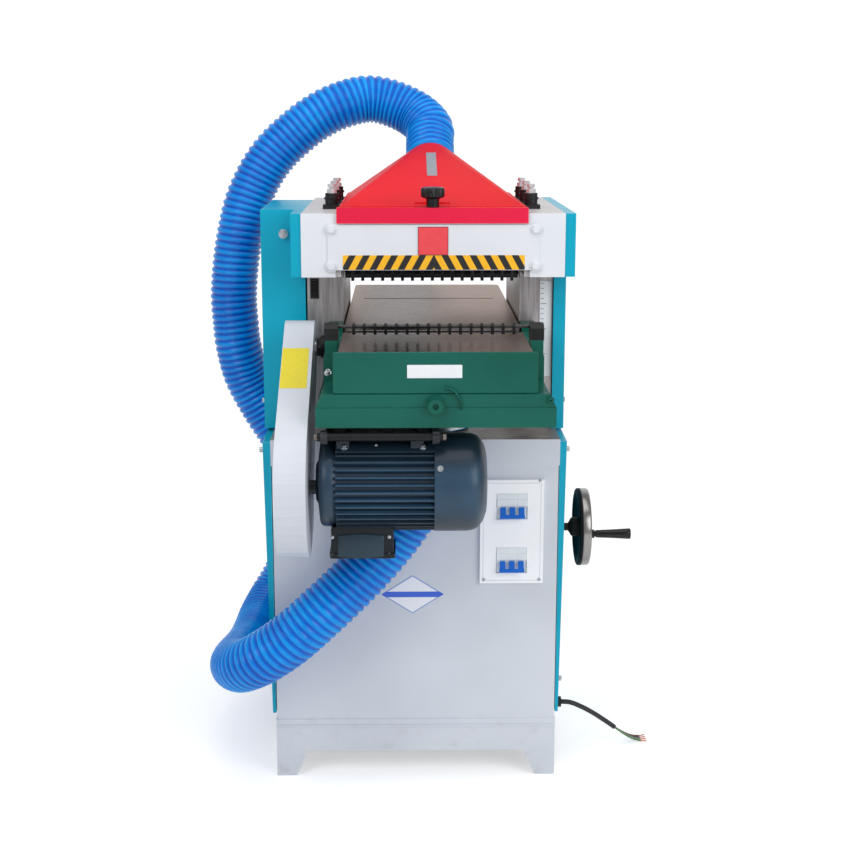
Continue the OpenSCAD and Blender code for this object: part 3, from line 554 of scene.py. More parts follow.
# ---------------------------------------------------------------- Lower side covers
# Pressed sheet lids over the drive and the lifting gear, deeper at the top, stoved turquoise. Each
# is held by plated cap screws with washers that run in from the side.
teal_low = (2, 158, 188)
teal_high = (8, 166, 196)
paint_nodes(teal_low, teal_high, "lower_cover_left", "lower_cover_right", rough=0.3)


def turned(name, places, out, profile, sides=36, smooth=False):
    """Turned or hexagonal heads, all alike, one at each place and rising along out.

    Each profile row is (height, radius, share). A row's point at angle a lies at height * out
    + radius * (1 - share + share * cos 30 / cos(a within its sixth - 30)) * (cos a, sin a), so that a
    share of 1 makes it a hexagon.
    """
    out = np.array(out, dtype=float) / np.linalg.norm(out)
    first = np.cross(out, (0, 0, 1) if abs(out[2]) < 0.9 else (0, 1, 0))
    first = first / np.linalg.norm(first)
    angle = np.linspace(0, 2 * math.pi, sides, endpoint=False)
    flats = math.cos(math.pi / 6) / np.cos(angle % (math.pi / 3) - math.pi / 6)
    height, radius, share = np.array(profile).T[..., None]
    ring = np.cos(angle)[:, None] * first + np.sin(angle)[:, None] * np.cross(out, first)
    rows = height[..., None] * out + (radius * (1 - share + share * flats))[..., None] * ring
    grid = np.reshape(places, (-1, 1, 1, 3)) + rows
    return outward(grid_mesh(name, grid, wrap=True, capped=True, smooth=smooth))


def cap_screw(size):
    """A socket cap screw on its washer: a round head of this radius with a hexagonal well."""
    return [(-0.001, 1.55 * size, 0), (0.0011, 1.55 * size, 0), (0.0013, 1.5 * size, 0), (0.0013, size, 0),
            (1.5 * size, size, 0), (1.62 * size, 0.9 * size, 0), (1.62 * size, 0.55 * size, 1),
            (0.9 * size, 0.5 * size, 1)]


def hex_bolt(size):
    """A hexagon bolt on its washer: the head's corners are chamfered round at the top."""
    return [(-0.001, 1.5 * size, 0), (0.0012, 1.5 * size, 0), (0.0014, 1.44 * size, 0), (0.0014, size, 1),
            (0.0014 + 0.58 * size, size, 1), (0.0014 + 0.7 * size, 0.84 * size, 0),
            (0.0014 + 0.72 * size, 0.3 * size, 0)]


def metal(name, low, high, rough, grain=(1, 1, 1), scale=60.0, marks=0.0001, metallic=1.0):
    """Bare metal with the lay of its cutting: noise stretched along the cut, in colour, gloss and bump."""
    finish = Finish(name, low, rough, metallic=metallic)
    lay = finish.noise(scale, 4.0, stretch=grain)
    stain = finish.noise(6.0, 4.0).fade(0.45, 0.8)
    finish.colours(lay.fade(0.25, 0.75) * (1 - 0.5 * stain), low, high)
    finish.set("Roughness", rough + 0.14 * lay + 0.1 * stain)
    finish.bump(lay, marks)
    return finish


zinc_plate = metal("zinc_plate", (150, 156, 162), (200, 204, 208), 0.3, scale=120.0)
upper_at, _ = place_on("cover_bolt", "lower_cover_right")
bolt_front = float(upper_at[1]) + 0.012
bolt_back = 0.215
bolt_low = 0.192


def cover_bolts(name, upper_x, lower_x, out):
    """A lid's four cap screws: the deeper upper part holds its pair further out than the lower part."""
    places = [(x, y, z) for y in (bolt_front, bolt_back) for x, z in ((upper_x, upper_at[2]), (lower_x, bolt_low))]
    return turned(name, places, out, cap_screw(0.0052))


cover_bolts_left = cover_bolts("cover_bolts_left", -0.296, -0.289, (-1, 0, 0))
cover_bolts_right = cover_bolts("cover_bolts_right", 0.2935, 0.287, (1, 0, 0))
dress(zinc_plate, cover_bolts_left, cover_bolts_right)
fit("stand", "zinc", cover_bolts_left, cover_bolts_right)
shown["cover_bolt"] = ([cover_bolts_right], middle, middle, 4)

# A moulded black rubber cuff closes the hose's lower end on the spigot.
cuff_rows = [(0, 0.0536, 0), (0.0008, 0.0548, 0), (0.004, 0.0551, 0), (0.0055, 0.0541, 0), (0.024, 0.0541, 0),
             (0.0255, 0.0551, 0), (0.0290, 0.0548, 0), (0.0300, 0.0536, 0)]
hose_cuff = turned("hose_cuff", [(0.045, -0.329, 0.705)], (0, 0, 1), cuff_rows, sides=48, smooth=True)
dress(jacket_rubber, hose_cuff)
fit("table_unit", "rubber", hose_cuff)

# ---------------------------------------------------------------- Electric panel
# A white steel plate on the cabinet's front with a printed hairline round its edge, four small
# screws, and two windows for three-pole breakers with linked blue levers.
panel_low, panel_high = (np.array(corner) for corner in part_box("electric_panel"))
panel_paint = painted("panel_paint", (246, 249, 253), (251, 253, 255), rough=0.28, box=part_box("electric_panel"))
x, y, z = panel_paint.axes
inset = (x - float(panel_low[0])).smaller(float(panel_high[0]) - x).smaller(
    (z - float(panel_low[2])).smaller(float(panel_high[2]) - z))
hairline = 1 - (inset - 0.006).absolute().fade(0.0003, 0.0007)
panel_paint.overprint(hairline * 0.6, (140, 146, 156))
dress(panel_paint, "electric_panel")

corner_at, _ = place_on("panel_screw", "electric_panel")
screw_in = panel_high[0] - corner_at[0]
screw_at = [(x, panel_low[1], z) for x in (panel_high[0] - screw_in, panel_low[0] + screw_in)
            for z in (corner_at[2], panel_low[2] + screw_in)]
dome = [(-0.0005, 0.0034, 0), (0.0006, 0.0034, 0), (0.0014, 0.003, 0), (0.0021, 0.0021, 0), (0.0023, 0.0012, 0),
        (0.0023, 0.0012, 1), (0.0012, 0.001, 1)]
panel_screws = turned("panel_screws", screw_at, (0, -1, 0), dome, sides=24)
dress(zinc_plate, panel_screws)
fit("stand", "zinc", panel_screws)
shown["panel_screw"] = ([panel_screws], middle, middle, 4)


def moulded(name, low, high, rough=0.32, grain=0.00006):
    """Injection-moulded plastic: a fine spark-eroded grain and faint clouding."""
    finish = Finish(name, low, rough, shine=0.3)
    cloud = finish.noise(22.0, 3.0)
    finish.colours(cloud.fade(0.3, 0.8), low, high)
    finish.set("Roughness", rough + 0.12 * cloud)
    finish.bump(finish.noise(900.0, 2.0), grain)
    return finish


breaker_white = moulded("breaker_white", (222, 229, 234), (232, 238, 242))
toggle_blue = moulded("toggle_blue", (18, 104, 206), (30, 120, 222), 0.26)
breaker_x = 0.188
breaker_z = {"upper": 0.563, "lower": 0.454}
breaker_front = -0.2716
breaker_back = -0.2690
lever_pivot_y = -0.279
breaker_half = (0.0295, 0.0255)
pole_pitch = 0.018


def breaker_face(name, centre_z):
    """A breaker's front as a height over x and z: a nose that steps back where the levers swing, a label ledge, and
    a groove between the poles. Its rim runs back into the panel."""
    across = np.linspace(-1, 1, 91)
    share = np.linspace(-1, 1, 81)[:, None]
    nose = 0.5 + 0.5 * np.tanh((share + 0.04) * 26)
    ledge = 0.5 + 0.5 * np.tanh((share - 0.55) * 40)
    groove = np.exp(-((np.abs(across * breaker_half[0]) - pole_pitch / 2 + 0 * share) / 0.0005) ** 2)
    proud = 0.0015 + 0.0048 * nose - 0.0012 * ledge - 0.0007 * groove
    depth = np.pad(breaker_front - proud, 1, constant_values=breaker_back)
    wide = np.pad(across, 1, mode="edge") * breaker_half[0] + breaker_x
    tall = np.pad(share[:, 0], 1, mode="edge")[:, None] * breaker_half[1] + centre_z
    return grid_mesh(name, np.stack(np.broadcast_arrays(wide, depth, tall), -1))


def lever_row(name, pivot_z, centres, half, low, high, thick):
    """Levers that hang on the barrel: each is its side outline, an oblong with round ends, carried along x and drawn
    in at both cheeks."""
    lean = math.radians(64)
    round_steps = np.linspace(0, 2 * math.pi, 24, endpoint=False)
    along = (low + high) / 2 + np.clip(1.25 * np.sin(round_steps), -1, 1) * (high - low) / 2
    over = thick * np.clip(1.25 * np.cos(round_steps), -1, 1)
    outline = np.stack((-along * math.cos(lean) - over * math.sin(lean),
                        -along * math.sin(lean) + over * math.cos(lean)), 1)
    core = outline.mean(0)
    cheeks = [(-half, 0.82), (-half + 0.0007, 1), (half - 0.0007, 1), (half, 0.82)]
    rows = [np.column_stack((np.full(24, x), (outline - core) * s + core)) for x, s in cheeks]
    grid = np.array(rows)[None] + np.array([(c + breaker_x, lever_pivot_y, pivot_z) for c in centres])[:, None, None]
    return outward(grid_mesh(name, grid, wrap=True, capped=True, smooth=False))


breaker_faces = [breaker_face("breaker_face_" + level, z) for level, z in breaker_z.items()]
dress(breaker_white, *breaker_faces)
fit("stand", "white_plastic", *breaker_faces)
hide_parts("breaker_bodies")
for level, pivot_z in breaker_z.items():
    node = "toggle_" + level
    paddles = lever_row(node + "_paddles", pivot_z, (-pole_pitch, 0, pole_pitch), 0.0056, 0.001, 0.0175, 0.0024)
    link = lever_row(node + "_link", pivot_z, (0,), 0.0245, 0.0160, 0.0235, 0.0028)
    dress(toggle_blue, paddles, link)
    fit(node, "blue_plastic", paddles, link)
    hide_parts(node)

# ---------------------------------------------------------------- Diamond badge
# A small printed foil badge stuck on the cabinet's front: a white lozenge with a thin blue rim and
# a blue band across its middle. It is left without words.
badge_half = (0.0618, 0.0395)
badge_band = 0.0058


def rounded(corners, cut, steps=6):
    """A convex outline with soft corners: each corner C, cut back to A and B along its sides, becomes the curve
    (1-t)^2 A + 2t(1-t) C + t^2 B."""
    corners = np.array(corners, dtype=float)
    back = np.roll(corners, 1, 0) - corners
    on = np.roll(corners, -1, 0) - corners
    start = (corners + cut * back / np.linalg.norm(back, axis=1, keepdims=True))[:, None]
    end = (corners + cut * on / np.linalg.norm(on, axis=1, keepdims=True))[:, None]
    t = np.linspace(0, 1, steps)[None, :, None]
    return ((1 - t) ** 2 * start + 2 * t * (1 - t) * corners[:, None] + t ** 2 * end).reshape(-1, 2)


def oblong(half_x, half_z):
    return [(-half_x, -half_z), (half_x, -half_z), (half_x, half_z), (-half_x, half_z)]


def slab(name, outline, place, out, thick, edge, crown=0.0):
    """A flat piece on a surface: its outline, drawn in by edge at the front, and crowned in the middle.

    A row at share s of the outline stands thick + crown * (1 - s^2) off the surface.
    """
    out = np.array(out, dtype=float) / np.linalg.norm(out)
    right = np.cross((0, 0, 1), out) if abs(out[2]) < 0.95 else np.array((1.0, 0, 0))
    right = right / np.linalg.norm(right)
    up = np.cross(out, right)
    drawn = 1 - edge / np.abs(outline).max(0)
    shares = [np.ones(2), np.ones(2), drawn] + [drawn * s for s in (0.8, 0.6, 0.4, 0.2, 0.02)]
    highs = [-0.0005, thick - edge, thick] + [thick + crown * (1 - s * s) for s in (0.8, 0.6, 0.4, 0.2, 0.02)]
    rows = [place + (outline * s) @ np.stack((right, up)) + h * out for s, h in zip(shares, highs)]
    return outward(grid_mesh(name, np.array(rows), wrap=True, capped=True, smooth=crown > 0))


def sheet(name, half, soft, *rest):
    """An oblong slab: its half sizes, how far its corners are cut back, then the rest of what slab takes."""
    return slab(name, rounded(oblong(*half), soft), *rest)


badge_at, badge_out = place_on("diamond", "cabinet_shell")
lozenge = rounded([(-badge_half[0], 0), (0, -badge_half[1]), (badge_half[0], 0), (0, badge_half[1])], 0.002)
diamond_badge = slab("diamond_badge", lozenge, badge_at, badge_out, 0.0005, 0.0002)
badge_foil = Finish("badge_foil", (232, 234, 240), 0.3, coat=0.3)
x, y, z = badge_foil.axes
across = (x - float(badge_at[0])).absolute()
height = (z - float(badge_at[2])).absolute()
rim = (across / badge_half[0] + height / badge_half[1]).fade(0.93, 0.94)
band = 1 - height.fade(badge_band - 0.0002, badge_band + 0.0002)
fleck = badge_foil.noise(160.0, 3.0)
field = badge_foil.blend(fleck, (224, 227, 235), (238, 240, 245))
ringed = badge_foil.blend(rim * 0.8, field, (70, 120, 196))
badge_foil.colours(band, ringed, (10, 84, 204))
badge_foil.set("Roughness", 0.26 + 0.12 * fleck)
dress(badge_foil, diamond_badge)
fit("stand", "white_plastic", diamond_badge)
shown["diamond"] = ([diamond_badge], middle, middle)

# ---------------------------------------------------------------- Gland, lifting gear and columns
# Two cast-iron columns with ground front faces stand on the upper band. Between them a steel screw
# in a cast pedestal turns in a bronze nut; a nylon gland lets the mains lead in.
black_nylon = moulded("black_nylon", (24, 25, 28), (34, 35, 38), 0.42)
dress(black_nylon, "cable_gland")
ground_iron = metal("ground_iron", (142, 137, 138), (186, 181, 182), 0.34, (14, 14, 0.8), 14.0, 0.00012,
                    metallic=0.85)
dress(ground_iron, "column_left", "column_right")
raw_casting = Finish("raw_casting", (88, 92, 96), 0.62, metallic=0.3)
sand = raw_casting.noise(260.0, 5.0)
skin_tone = raw_casting.noise(9.0, 4.0).fade(0.3, 0.75)
raw_casting.colours(skin_tone, (70, 74, 78), (104, 108, 112))
raw_casting.set("Roughness", 0.55 + 0.25 * sand)
raw_casting.bump(sand, 0.0006)
dress(raw_casting, "screw_bearing", "handwheel_bearing")
bright_steel = metal("bright_steel", (150, 155, 160), (205, 208, 212), 0.2, (1, 24, 24), 40.0)
dress(bright_steel, "lift_screw")
bronze = metal("bronze", (142, 102, 52), (184, 142, 82), 0.34, (1, 1, 12), 30.0)
dress(bronze, "lift_nut")

# A ribbed rubber wiper, screwed to the left column's front below the head, keeps chips off the
# slide: five lips, each a small wave in the block's face.
wiper_half = (0.0082, 0.0195)
wiper_at, _ = place_on("column_wiper", "column_left")
wiper_down = np.linspace(-wiper_half[1], wiper_half[1], 61)[:, None]
wiper_round = np.linspace(0, 2 * math.pi, 33)[:-1]
lip = 0.0055 + 0.0022 * np.cos(7 * math.pi * wiper_down / wiper_half[1])
wiper_x = wiper_half[0] * np.clip(1.3 * np.cos(wiper_round), -1, 1) + 0 * wiper_down
wiper_y = -lip * np.clip(1.3 * np.sin(wiper_round), -0.1, 1)
wiper_grid = np.stack(np.broadcast_arrays(wiper_at[0] + wiper_x, wiper_at[1] + wiper_y, wiper_at[2] + wiper_down), -1)
column_wiper = outward(grid_mesh("column_wiper", wiper_grid, wrap=True, capped=True))
dress(jacket_rubber, column_wiper)
fit("stand", "rubber", column_wiper)
shown["column_wiper"] = ([column_wiper], middle, middle)

# The height scale is an enamelled strip with cut marks, read against a red pointer on the table.
scale_half = (0.0118, 0.0950)
scale_z = 0.895
height_strip = sheet("height_strip", scale_half, 0.001, (0.2575, -0.160, scale_z), (0, -1, 0), 0.0015, 0.0004)
scale_enamel = painted("scale_enamel", (222, 228, 234), (232, 236, 241), rough=0.3)
x, y, z = scale_enamel.axes
mark_step = 0.010
mark_from, short_to, long_to = 0.2475, 0.2535, 0.2585
soft_edge = 0.0003
tick = (((z - scale_z) / mark_step).fraction() - 0.5).absolute().fade(0.42, 0.45)
fifth = (((z - scale_z) / (5 * mark_step)).fraction() - 0.5).absolute().fade(0.482, 0.488)
reach_in = (x - mark_from).fade(0.0, soft_edge)
short = reach_in * (1 - (x - short_to).fade(0.0, soft_edge))
long = reach_in * (1 - (x - long_to).fade(0.0, soft_edge))
scale_enamel.overprint((tick * short).larger(fifth * long) * 0.8, (96, 60, 66))
dress(scale_enamel, height_strip)
fit("stand", "white_plastic", height_strip)
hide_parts("height_scale")
pointer_red = painted("pointer_red", (200, 24, 34), (216, 34, 44))
dress(pointer_red, "height_pointer")

# ---------------------------------------------------------------- Table and rear extension
# Ribbed iron castings, ground and polished on top until they mirror, with the fine crossed marks
# that the grinding leaves. The extension is bolted to the table's back.
mirror_iron = Finish("mirror_iron", (150, 149, 150), 0.14, metallic=1.0)
mirror_iron.shader.inputs["Specular Tint"].default_value = linear((206, 196, 192))
x, y, z = mirror_iron.axes
grinding_lean = 0.7
marks = []
for lean in (grinding_lean, -grinding_lean):
    way = mirror_iron.node("ShaderNodeMapping", {}, mirror_iron.where, Rotation=(0, 0, lean), Scale=(1, 30, 1))
    lay = mirror_iron.node("ShaderNodeTexNoise", {}, Vector=way.outputs[0], Scale=26.0, Detail=3.0)
    marks.append(Value(mirror_iron, lay.outputs["Fac"]).fade(0.52, 0.62) * 0.5)
crossed = marks[0] + marks[1]
# A dark band runs front to back down the middle, in front of the camera: a painted reflection, warped by slow noise.
# The same mask lowers the metal and the roughness in the band.
wander = mirror_iron.noise(5.0, 2.0, stretch=(1, 0.4, 1))
away_from_painted_reflection = ((x + 0.03 + 0.10 * (wander - 0.5)).absolute()).fade(0.02, 0.13)
polish = mirror_iron.blend(away_from_painted_reflection, (26, 21, 20), (184, 172, 165))
mirror_iron.colours(crossed * 0.15, polish, (132, 124, 120))
mirror_iron.set("Roughness", 0.24 + 0.08 * crossed + 0.1 * away_from_painted_reflection)
mirror_iron.set("Metallic", 0.6 + 0.4 * away_from_painted_reflection)
dress(mirror_iron, "table", "rear_extension", "infeed_table")

# ---------------------------------------------------------------- Head, rollers and cutterhead
# An iron casting across the columns carries the spindle's bearings and the two sprung feed rollers:
# the infeed one milled in fine teeth and blackened, the outfeed one ground.
head_paint = painted("head_paint", (190, 188, 188), (206, 204, 204), rough=0.4, peel=0.0004, peel_scale=180.0,
                     box=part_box("head_casting"))
dress(head_paint, "head_casting")
dress(ground_iron, "roller_bearings", "chip_breaker", "pressure_bar")
dress(bright_steel, "head_bearings", "cutterhead", "outfeed_roller", "lower_cutterhead")
knife_steel = metal("knife_steel", (176, 180, 184), (222, 224, 227), 0.14, (1, 40, 40), 30.0)
dress(knife_steel, "cutter_knives")
blackened = metal("blackened_steel", (40, 42, 45), (74, 76, 80), 0.36, (1, 8, 8), 60.0)
dress(blackened, "infeed_roller", "upper_fingers", "feed_chain", "cutter_pulley", "motor_rotor", "front_rotor")
belt_rubber = Finish("belt_rubber", (26, 26, 28), 0.7)
weave = belt_rubber.noise(420.0, 2.0)
belt_rubber.colours(weave.fade(0.4, 0.7), (18, 18, 20), (46, 45, 44))
belt_rubber.set("Roughness", 0.6 + 0.25 * weave)
belt_rubber.bump(weave, 0.0004)
dress(belt_rubber, "main_belt", "lower_belt")

# ---------------------------------------------------------------- Head plates
# The head's front plate and the centre plate bolted over it, in a grey a little paler than the
# cabinet's. The bolts were painted with the plate. A striped tape runs along the lower edge, and a
# bare red plate is fixed above it.
head_grey_low = (218, 222, 229)
head_grey_high = (226, 229, 236)
paint_nodes(head_grey_low, head_grey_high, "head_front_plate", "centre_plate")
shown["head_corner"] = (["head_front_plate"], np.min, np.min)

plate_y = -0.277
bolt_columns = (-0.157, 0.226)
bolt_rows = (1.100, 1.031)
bolt_places = [(x, plate_y, z) for x in bolt_columns for z in bolt_rows]
plate_bolts = turned("plate_bolts", bolt_places, (0, -1, 0), hex_bolt(0.0076))
bolt_paint = painted("bolt_paint", head_grey_low, head_grey_high)
dress(bolt_paint, plate_bolts)
fit("stand", "panel_grey", plate_bolts)
shown["plate_bolt"] = ([plate_bolts], middle, middle, 4)

tape_half = (0.171, 0.0136)
tape_pitch = 0.0264
tape_lean = 0.55
tape_at, _ = place_on("hazard_stripe", "centre_plate")
tape_x = 0.035
hazard_tape = sheet("hazard_tape", tape_half, 0.0015, (tape_x, plate_y, tape_at[2]), (0, -1, 0), 0.0004, 0.0001)
# The stripes lean in towards the middle from both sides: bands of |x| plus a share of the height.
tape_print = Finish("tape_print", (253, 187, 16), 0.35, coat=0.2)
x, y, z = tape_print.axes
lean = (x - tape_x).absolute() + tape_lean * (z - float(tape_at[2])) + 0.5
phase = (lean / tape_pitch).fraction()
black_band = (phase - 0.5).absolute().fade(0.235, 0.265)
scuff = tape_print.noise(120.0, 4.0)
yellow = tape_print.blend(scuff, (246, 176, 8), (255, 196, 30))
tape_print.colours(black_band, yellow, (18, 18, 20))
tape_print.set("Roughness", 0.3 + 0.15 * scuff)
dress(tape_print, hazard_tape)
fit("stand", "panel_grey", hazard_tape)
shown["hazard_stripe"] = ([hazard_tape], middle, middle)

sign_half = (0.0285, 0.0265)
sign_x, sign_y, sign_z = 0.0335, -0.2785, 1.0785
sign_plate = sheet("sign_plate", sign_half, 0.0015, (sign_x, sign_y, sign_z), (0, -1, 0), 0.0005, 0.0002)
sign_enamel = Finish("sign_enamel", (236, 66, 76), 0.32, coat=0.2)
x, y, z = sign_enamel.axes
margin = (sign_half[0] - (x - sign_x).absolute()).smaller(sign_half[1] - (z - sign_z).absolute())
sheen = sign_enamel.noise(90.0, 3.0)
face = sign_enamel.blend(sheen, (228, 58, 68), (240, 78, 86))
sign_enamel.colours(1 - margin.fade(0.0008, 0.0013), face, (96, 30, 40))
sign_enamel.set("Roughness", 0.28 + 0.15 * sheen)
dress(sign_enamel, sign_plate)
fit("stand", "pointer_red", sign_plate)
shown["sign_plate"] = ([sign_plate], middle, middle)

# ---------------------------------------------------------------- Drive and chain covers
# Sheet boxes down both sides of the columns and the head, over the main belt and the feed chain,
# stoved turquoise and held by plated bolts.
paint_nodes(teal_low, teal_high, "drive_cover", "chain_cover", rough=0.3)
bolt_at, _ = place_on("drive_cover_bolt", "drive_cover")
cover_bolt = turned("drive_cover_bolt", [bolt_at], (0, -1, 0), [(-0.001, 0.0075, 0), (0.010, 0.0075, 0),
    (0.010, 0.009, 0), (0.0116, 0.009, 0), (0.0118, 0.0078, 1), (0.0170, 0.0078, 1), (0.0182, 0.0066, 0),
    (0.0184, 0.002, 0)])
side_bolt_y, side_bolt_z = -0.120, 0.745
side_bolts_left = turned("drive_cover_side_bolt", [(-0.300, side_bolt_y, side_bolt_z)], (-1, 0, 0), cap_screw(0.0048))
side_bolts_right = turned("chain_cover_side_bolt", [(0.296, side_bolt_y, side_bolt_z)], (1, 0, 0), cap_screw(0.0048))
dress(zinc_plate, cover_bolt, side_bolts_left, side_bolts_right)
fit("stand", "zinc", cover_bolt, side_bolts_left, side_bolts_right)
shown["drive_cover_bolt"] = ([cover_bolt], middle, middle)

# ---------------------------------------------------------------- Adjusters
# Six turned black housings hold the springs over the rollers' blocks; bright plated nuts on their
# studs set the pressure.
black_phosphate = metal("black_phosphate", (20, 21, 23), (46, 47, 50), 0.42, scale=180.0, metallic=0.5)
dress(black_phosphate, "adjuster_housings")
bright_nuts = metal("bright_nuts", (186, 184, 186), (226, 224, 226), 0.3, scale=160.0, marks=0.00005, metallic=0.4)
dress(bright_nuts, "adjuster_bolts")

# ---------------------------------------------------------------- Hood and its knob
# A welded sheet hood in hammered red enamel, folded into a lip over the head and drawn up into a
# funnel with a round neck. A lobed black knob clamps it, over a bead, below a bare grey plate.
red_low = (214, 14, 26)
red_high = (230, 24, 36)
hood_enamel = Finish("hammered_red_enamel", red_low, 0.42, shine=0.06)
cloud = hood_enamel.noise(4.0)
beaten = hood_enamel.noise(420.0, 3.0)
x, y, z = hood_enamel.axes
# The lip's front face is painted pinker: a painted sheen where it catches the light, broken up by the hammered
# texture.
lip_face, lip_behind = -0.2772, -0.2766
lip_front_sheen = 1 - y.fade(lip_face, lip_behind)
# Pale edges on the hood: partly worn enamel, partly a painted highlight where the edges catch the light.
edge_wear_and_highlight = (hood_enamel.noise(60.0, 4.0) * 0.0024 - hood_enamel.edge_of(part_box("hood"))).fade(0.0, 0.0008) * 0.4
enamel = hood_enamel.blend(cloud.fade(0.3, 0.7), red_low, red_high)
enamel = hood_enamel.blend(lip_front_sheen * (0.55 + 0.35 * beaten), enamel, (228, 44, 84))
dimple = hood_enamel.blend(beaten.fade(0.6, 0.8) * 0.12, enamel, (240, 80, 92))
hood_enamel.colours(edge_wear_and_highlight, dimple, (232, 130, 134))
hood_enamel.set("Roughness", 0.34 + 0.2 * beaten)
hood_enamel.bump(beaten, 0.0002)
dress(hood_enamel, "hood")
dress(zinc_plate, "lower_port")
black_knob = moulded("black_phenolic", (14, 14, 16), (26, 26, 29), 0.18)
machine_x = 0.033
knob_axis = (machine_x, -0.266, 0)
knob_turn = np.linspace(0, 2 * math.pi, 96, endpoint=False)
# Each row is (z, radius, how much of the lobes it has).
knob_rows = np.array([(1.1415, 0.0120, 0), (1.1500, 0.0120, 0), (1.1560, 0.0125, 0), (1.1585, 0.0195, 0.3),
                      (1.1605, 0.0215, 1), (1.1735, 0.0218, 1), (1.1765, 0.0205, 0.6), (1.1778, 0.0170, 0),
                      (1.1770, 0.0100, 0), (1.1765, 0.0040, 0)])
lobe = knob_rows[:, 1:2] + 0.0008 * knob_rows[:, 2:] * np.cos(16 * knob_turn)
knob_grid = np.stack((lobe * np.cos(knob_turn), lobe * np.sin(knob_turn), knob_rows[:, :1] + 0 * lobe), -1)
clamp_knob = outward(grid_mesh("clamp_knob", knob_grid + np.array(knob_axis), wrap=True, capped=True))
clamp_knob.data.set_sharp_from_angle(angle=0.7)
dress(black_knob, clamp_knob)
fit("hood_knob", "black_plastic", clamp_knob)
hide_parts("hood_knob")

hood_plate_half = (0.0102, 0.0790)
hood_plate_at, hood_plate_out = place_on("hood_plate", "hood")
hood_plate = sheet("hood_plate", hood_plate_half, 0.001, hood_plate_at, hood_plate_out, 0.0008, 0.0003)
plate_aluminium = metal("plate_aluminium", (150, 152, 160), (176, 178, 186), 0.36, (20, 1, 1), 50.0, metallic=0.6)
dress(plate_aluminium, hood_plate)
hood_right = np.array((1.0, 0, 0))
hood_up = np.cross(hood_plate_out, hood_right)
bead_at = hood_plate_at - hood_up * (hood_plate_at[2] - 1.146) / hood_up[2]
hood_bead = sheet("hood_bead", (0.034, 0.0016), 0.001, (machine_x, bead_at[1], bead_at[2]), hood_plate_out, 0.0018,
                  0.0006)
dress(hood_enamel, hood_bead)
fit("stand", "zinc", hood_plate)
fit("stand", "red", hood_bead)
shown["hood_plate"] = ([hood_plate], middle, middle)

# ---------------------------------------------------------------- Lower head
# The green casting that the table unit carries in front: walls, rim and side arms round the lower
# cutterhead, in thick gloss enamel over filled iron. The rod of hanging fingers crosses above it.
green_low = (14, 82, 70)
green_high = (22, 94, 82)
green_enamel = Finish("green_enamel", green_low, 0.3, coat=0.05, coat_roughness=0.12, shine=0.16)
cloud = green_enamel.noise(5.0)
filler = green_enamel.noise(26.0, 4.0)
# Pale edges on the casting: partly worn enamel, partly a painted highlight where the edges catch the light.
edge_wear_and_highlight = (green_enamel.noise(70.0, 4.0) * 0.0036 - green_enamel.edge_of(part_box("lower_head"))).fade(0.0, 0.001) * 0.4
enamel = green_enamel.blend(cloud.fade(0.3, 0.7), green_low, green_high)
green_enamel.colours(edge_wear_and_highlight, enamel, (150, 176, 166))
green_enamel.set("Roughness", 0.26 + 0.16 * filler)
green_enamel.bump(filler + 0.2 * green_enamel.noise(300.0, 2.0), 0.0012)
dress(green_enamel, "lower_head", "front_screw")

# A cap screw sits on each side arm: the left one is plated, and the right one was painted over.
for side_name, side_place, side_out in (("arm_screw_left", (-0.156, -0.4815, 0.8638), (0, -0.519, 0.855)),
                                        ("arm_screw_right", (0.233, -0.540, 0.826), (0, -1, 0))):
    arm_screw = turned(side_name, [side_place], side_out, cap_screw(0.0042))
    dress(zinc_plate if side_name.endswith("left") else green_enamel, arm_screw)
    fit("table_unit", "zinc", arm_screw)

# Beside the adjusting screw stands a thin cast fin, a quarter of a dish, that guards its head.
fin_sweep = np.linspace(0, math.pi / 2, 25)[:, None]
fin_round = np.linspace(0, 2 * math.pi, 17)[:-1]
fin_reach = 0.028
fin_wide = 0.0042 * np.sin(fin_sweep + 0.35)
fin_x = 0.050 + fin_reach * np.sin(fin_sweep) + 0 * fin_round
fin_z = 0.812 + 0.036 * np.cos(fin_sweep) + fin_wide * np.cos(fin_round)
fin_y = -0.540 - 0.0068 * np.sin(fin_sweep + 0.6) * np.clip(np.sin(fin_round), -0.2, 1) + 0 * fin_sweep
cast_fin = outward(grid_mesh("cast_fin", np.stack((fin_x, fin_y, fin_z), -1), wrap=True, capped=True))
dress(green_enamel, cast_fin)
fit("table_unit", "green", cast_fin)

# The front wall rises past the infeed table's edge. A bare white label for the setting sits on it.
front_wall = sheet("front_wall", (0.178, 0.0365), 0.003, (machine_x, -0.5338, 0.8735), (0, -1, 0), 0.0034, 0.0012)
dress(green_enamel, front_wall)
fit("table_unit", "green", front_wall)
setting_half = (0.0478, 0.0116)
setting_at, setting_out = place_on("setting_label", "lower_head", front_wall)
setting_label = sheet("setting_label", setting_half, 0.0012, setting_at, setting_out, 0.0005, 0.0002)


def film(name, colour, low, high):
    """A label's satin plastic film: fine fibres in its colour and its gloss."""
    finish = Finish(name, colour, 0.34, coat=0.15)
    fibre = finish.noise(150.0, 3.0)
    finish.colours(fibre, low, high)
    finish.set("Roughness", 0.3 + 0.16 * fibre)
    return finish


dress(film("label_film", (226, 230, 236), (220, 225, 232), (234, 237, 241)), setting_label)
fit("table_unit", "white_plastic", setting_label)
shown["setting_label"] = ([setting_label], middle, middle)


def plates_along_x(name, centres, half, outline):
    """Flat plates that stand across x, all alike: an outline of (y, z) carried from -half to half at each centre."""
    outline = np.array(outline, dtype=float)
    rows = [np.column_stack((np.full(len(outline), x), outline)) for x in (-half, half)]
    grid = np.array(rows)[None] + np.array([(c, 0, 0) for c in centres])[:, None, None]
    return outward(grid_mesh(name, grid, wrap=True, capped=True, smooth=False))


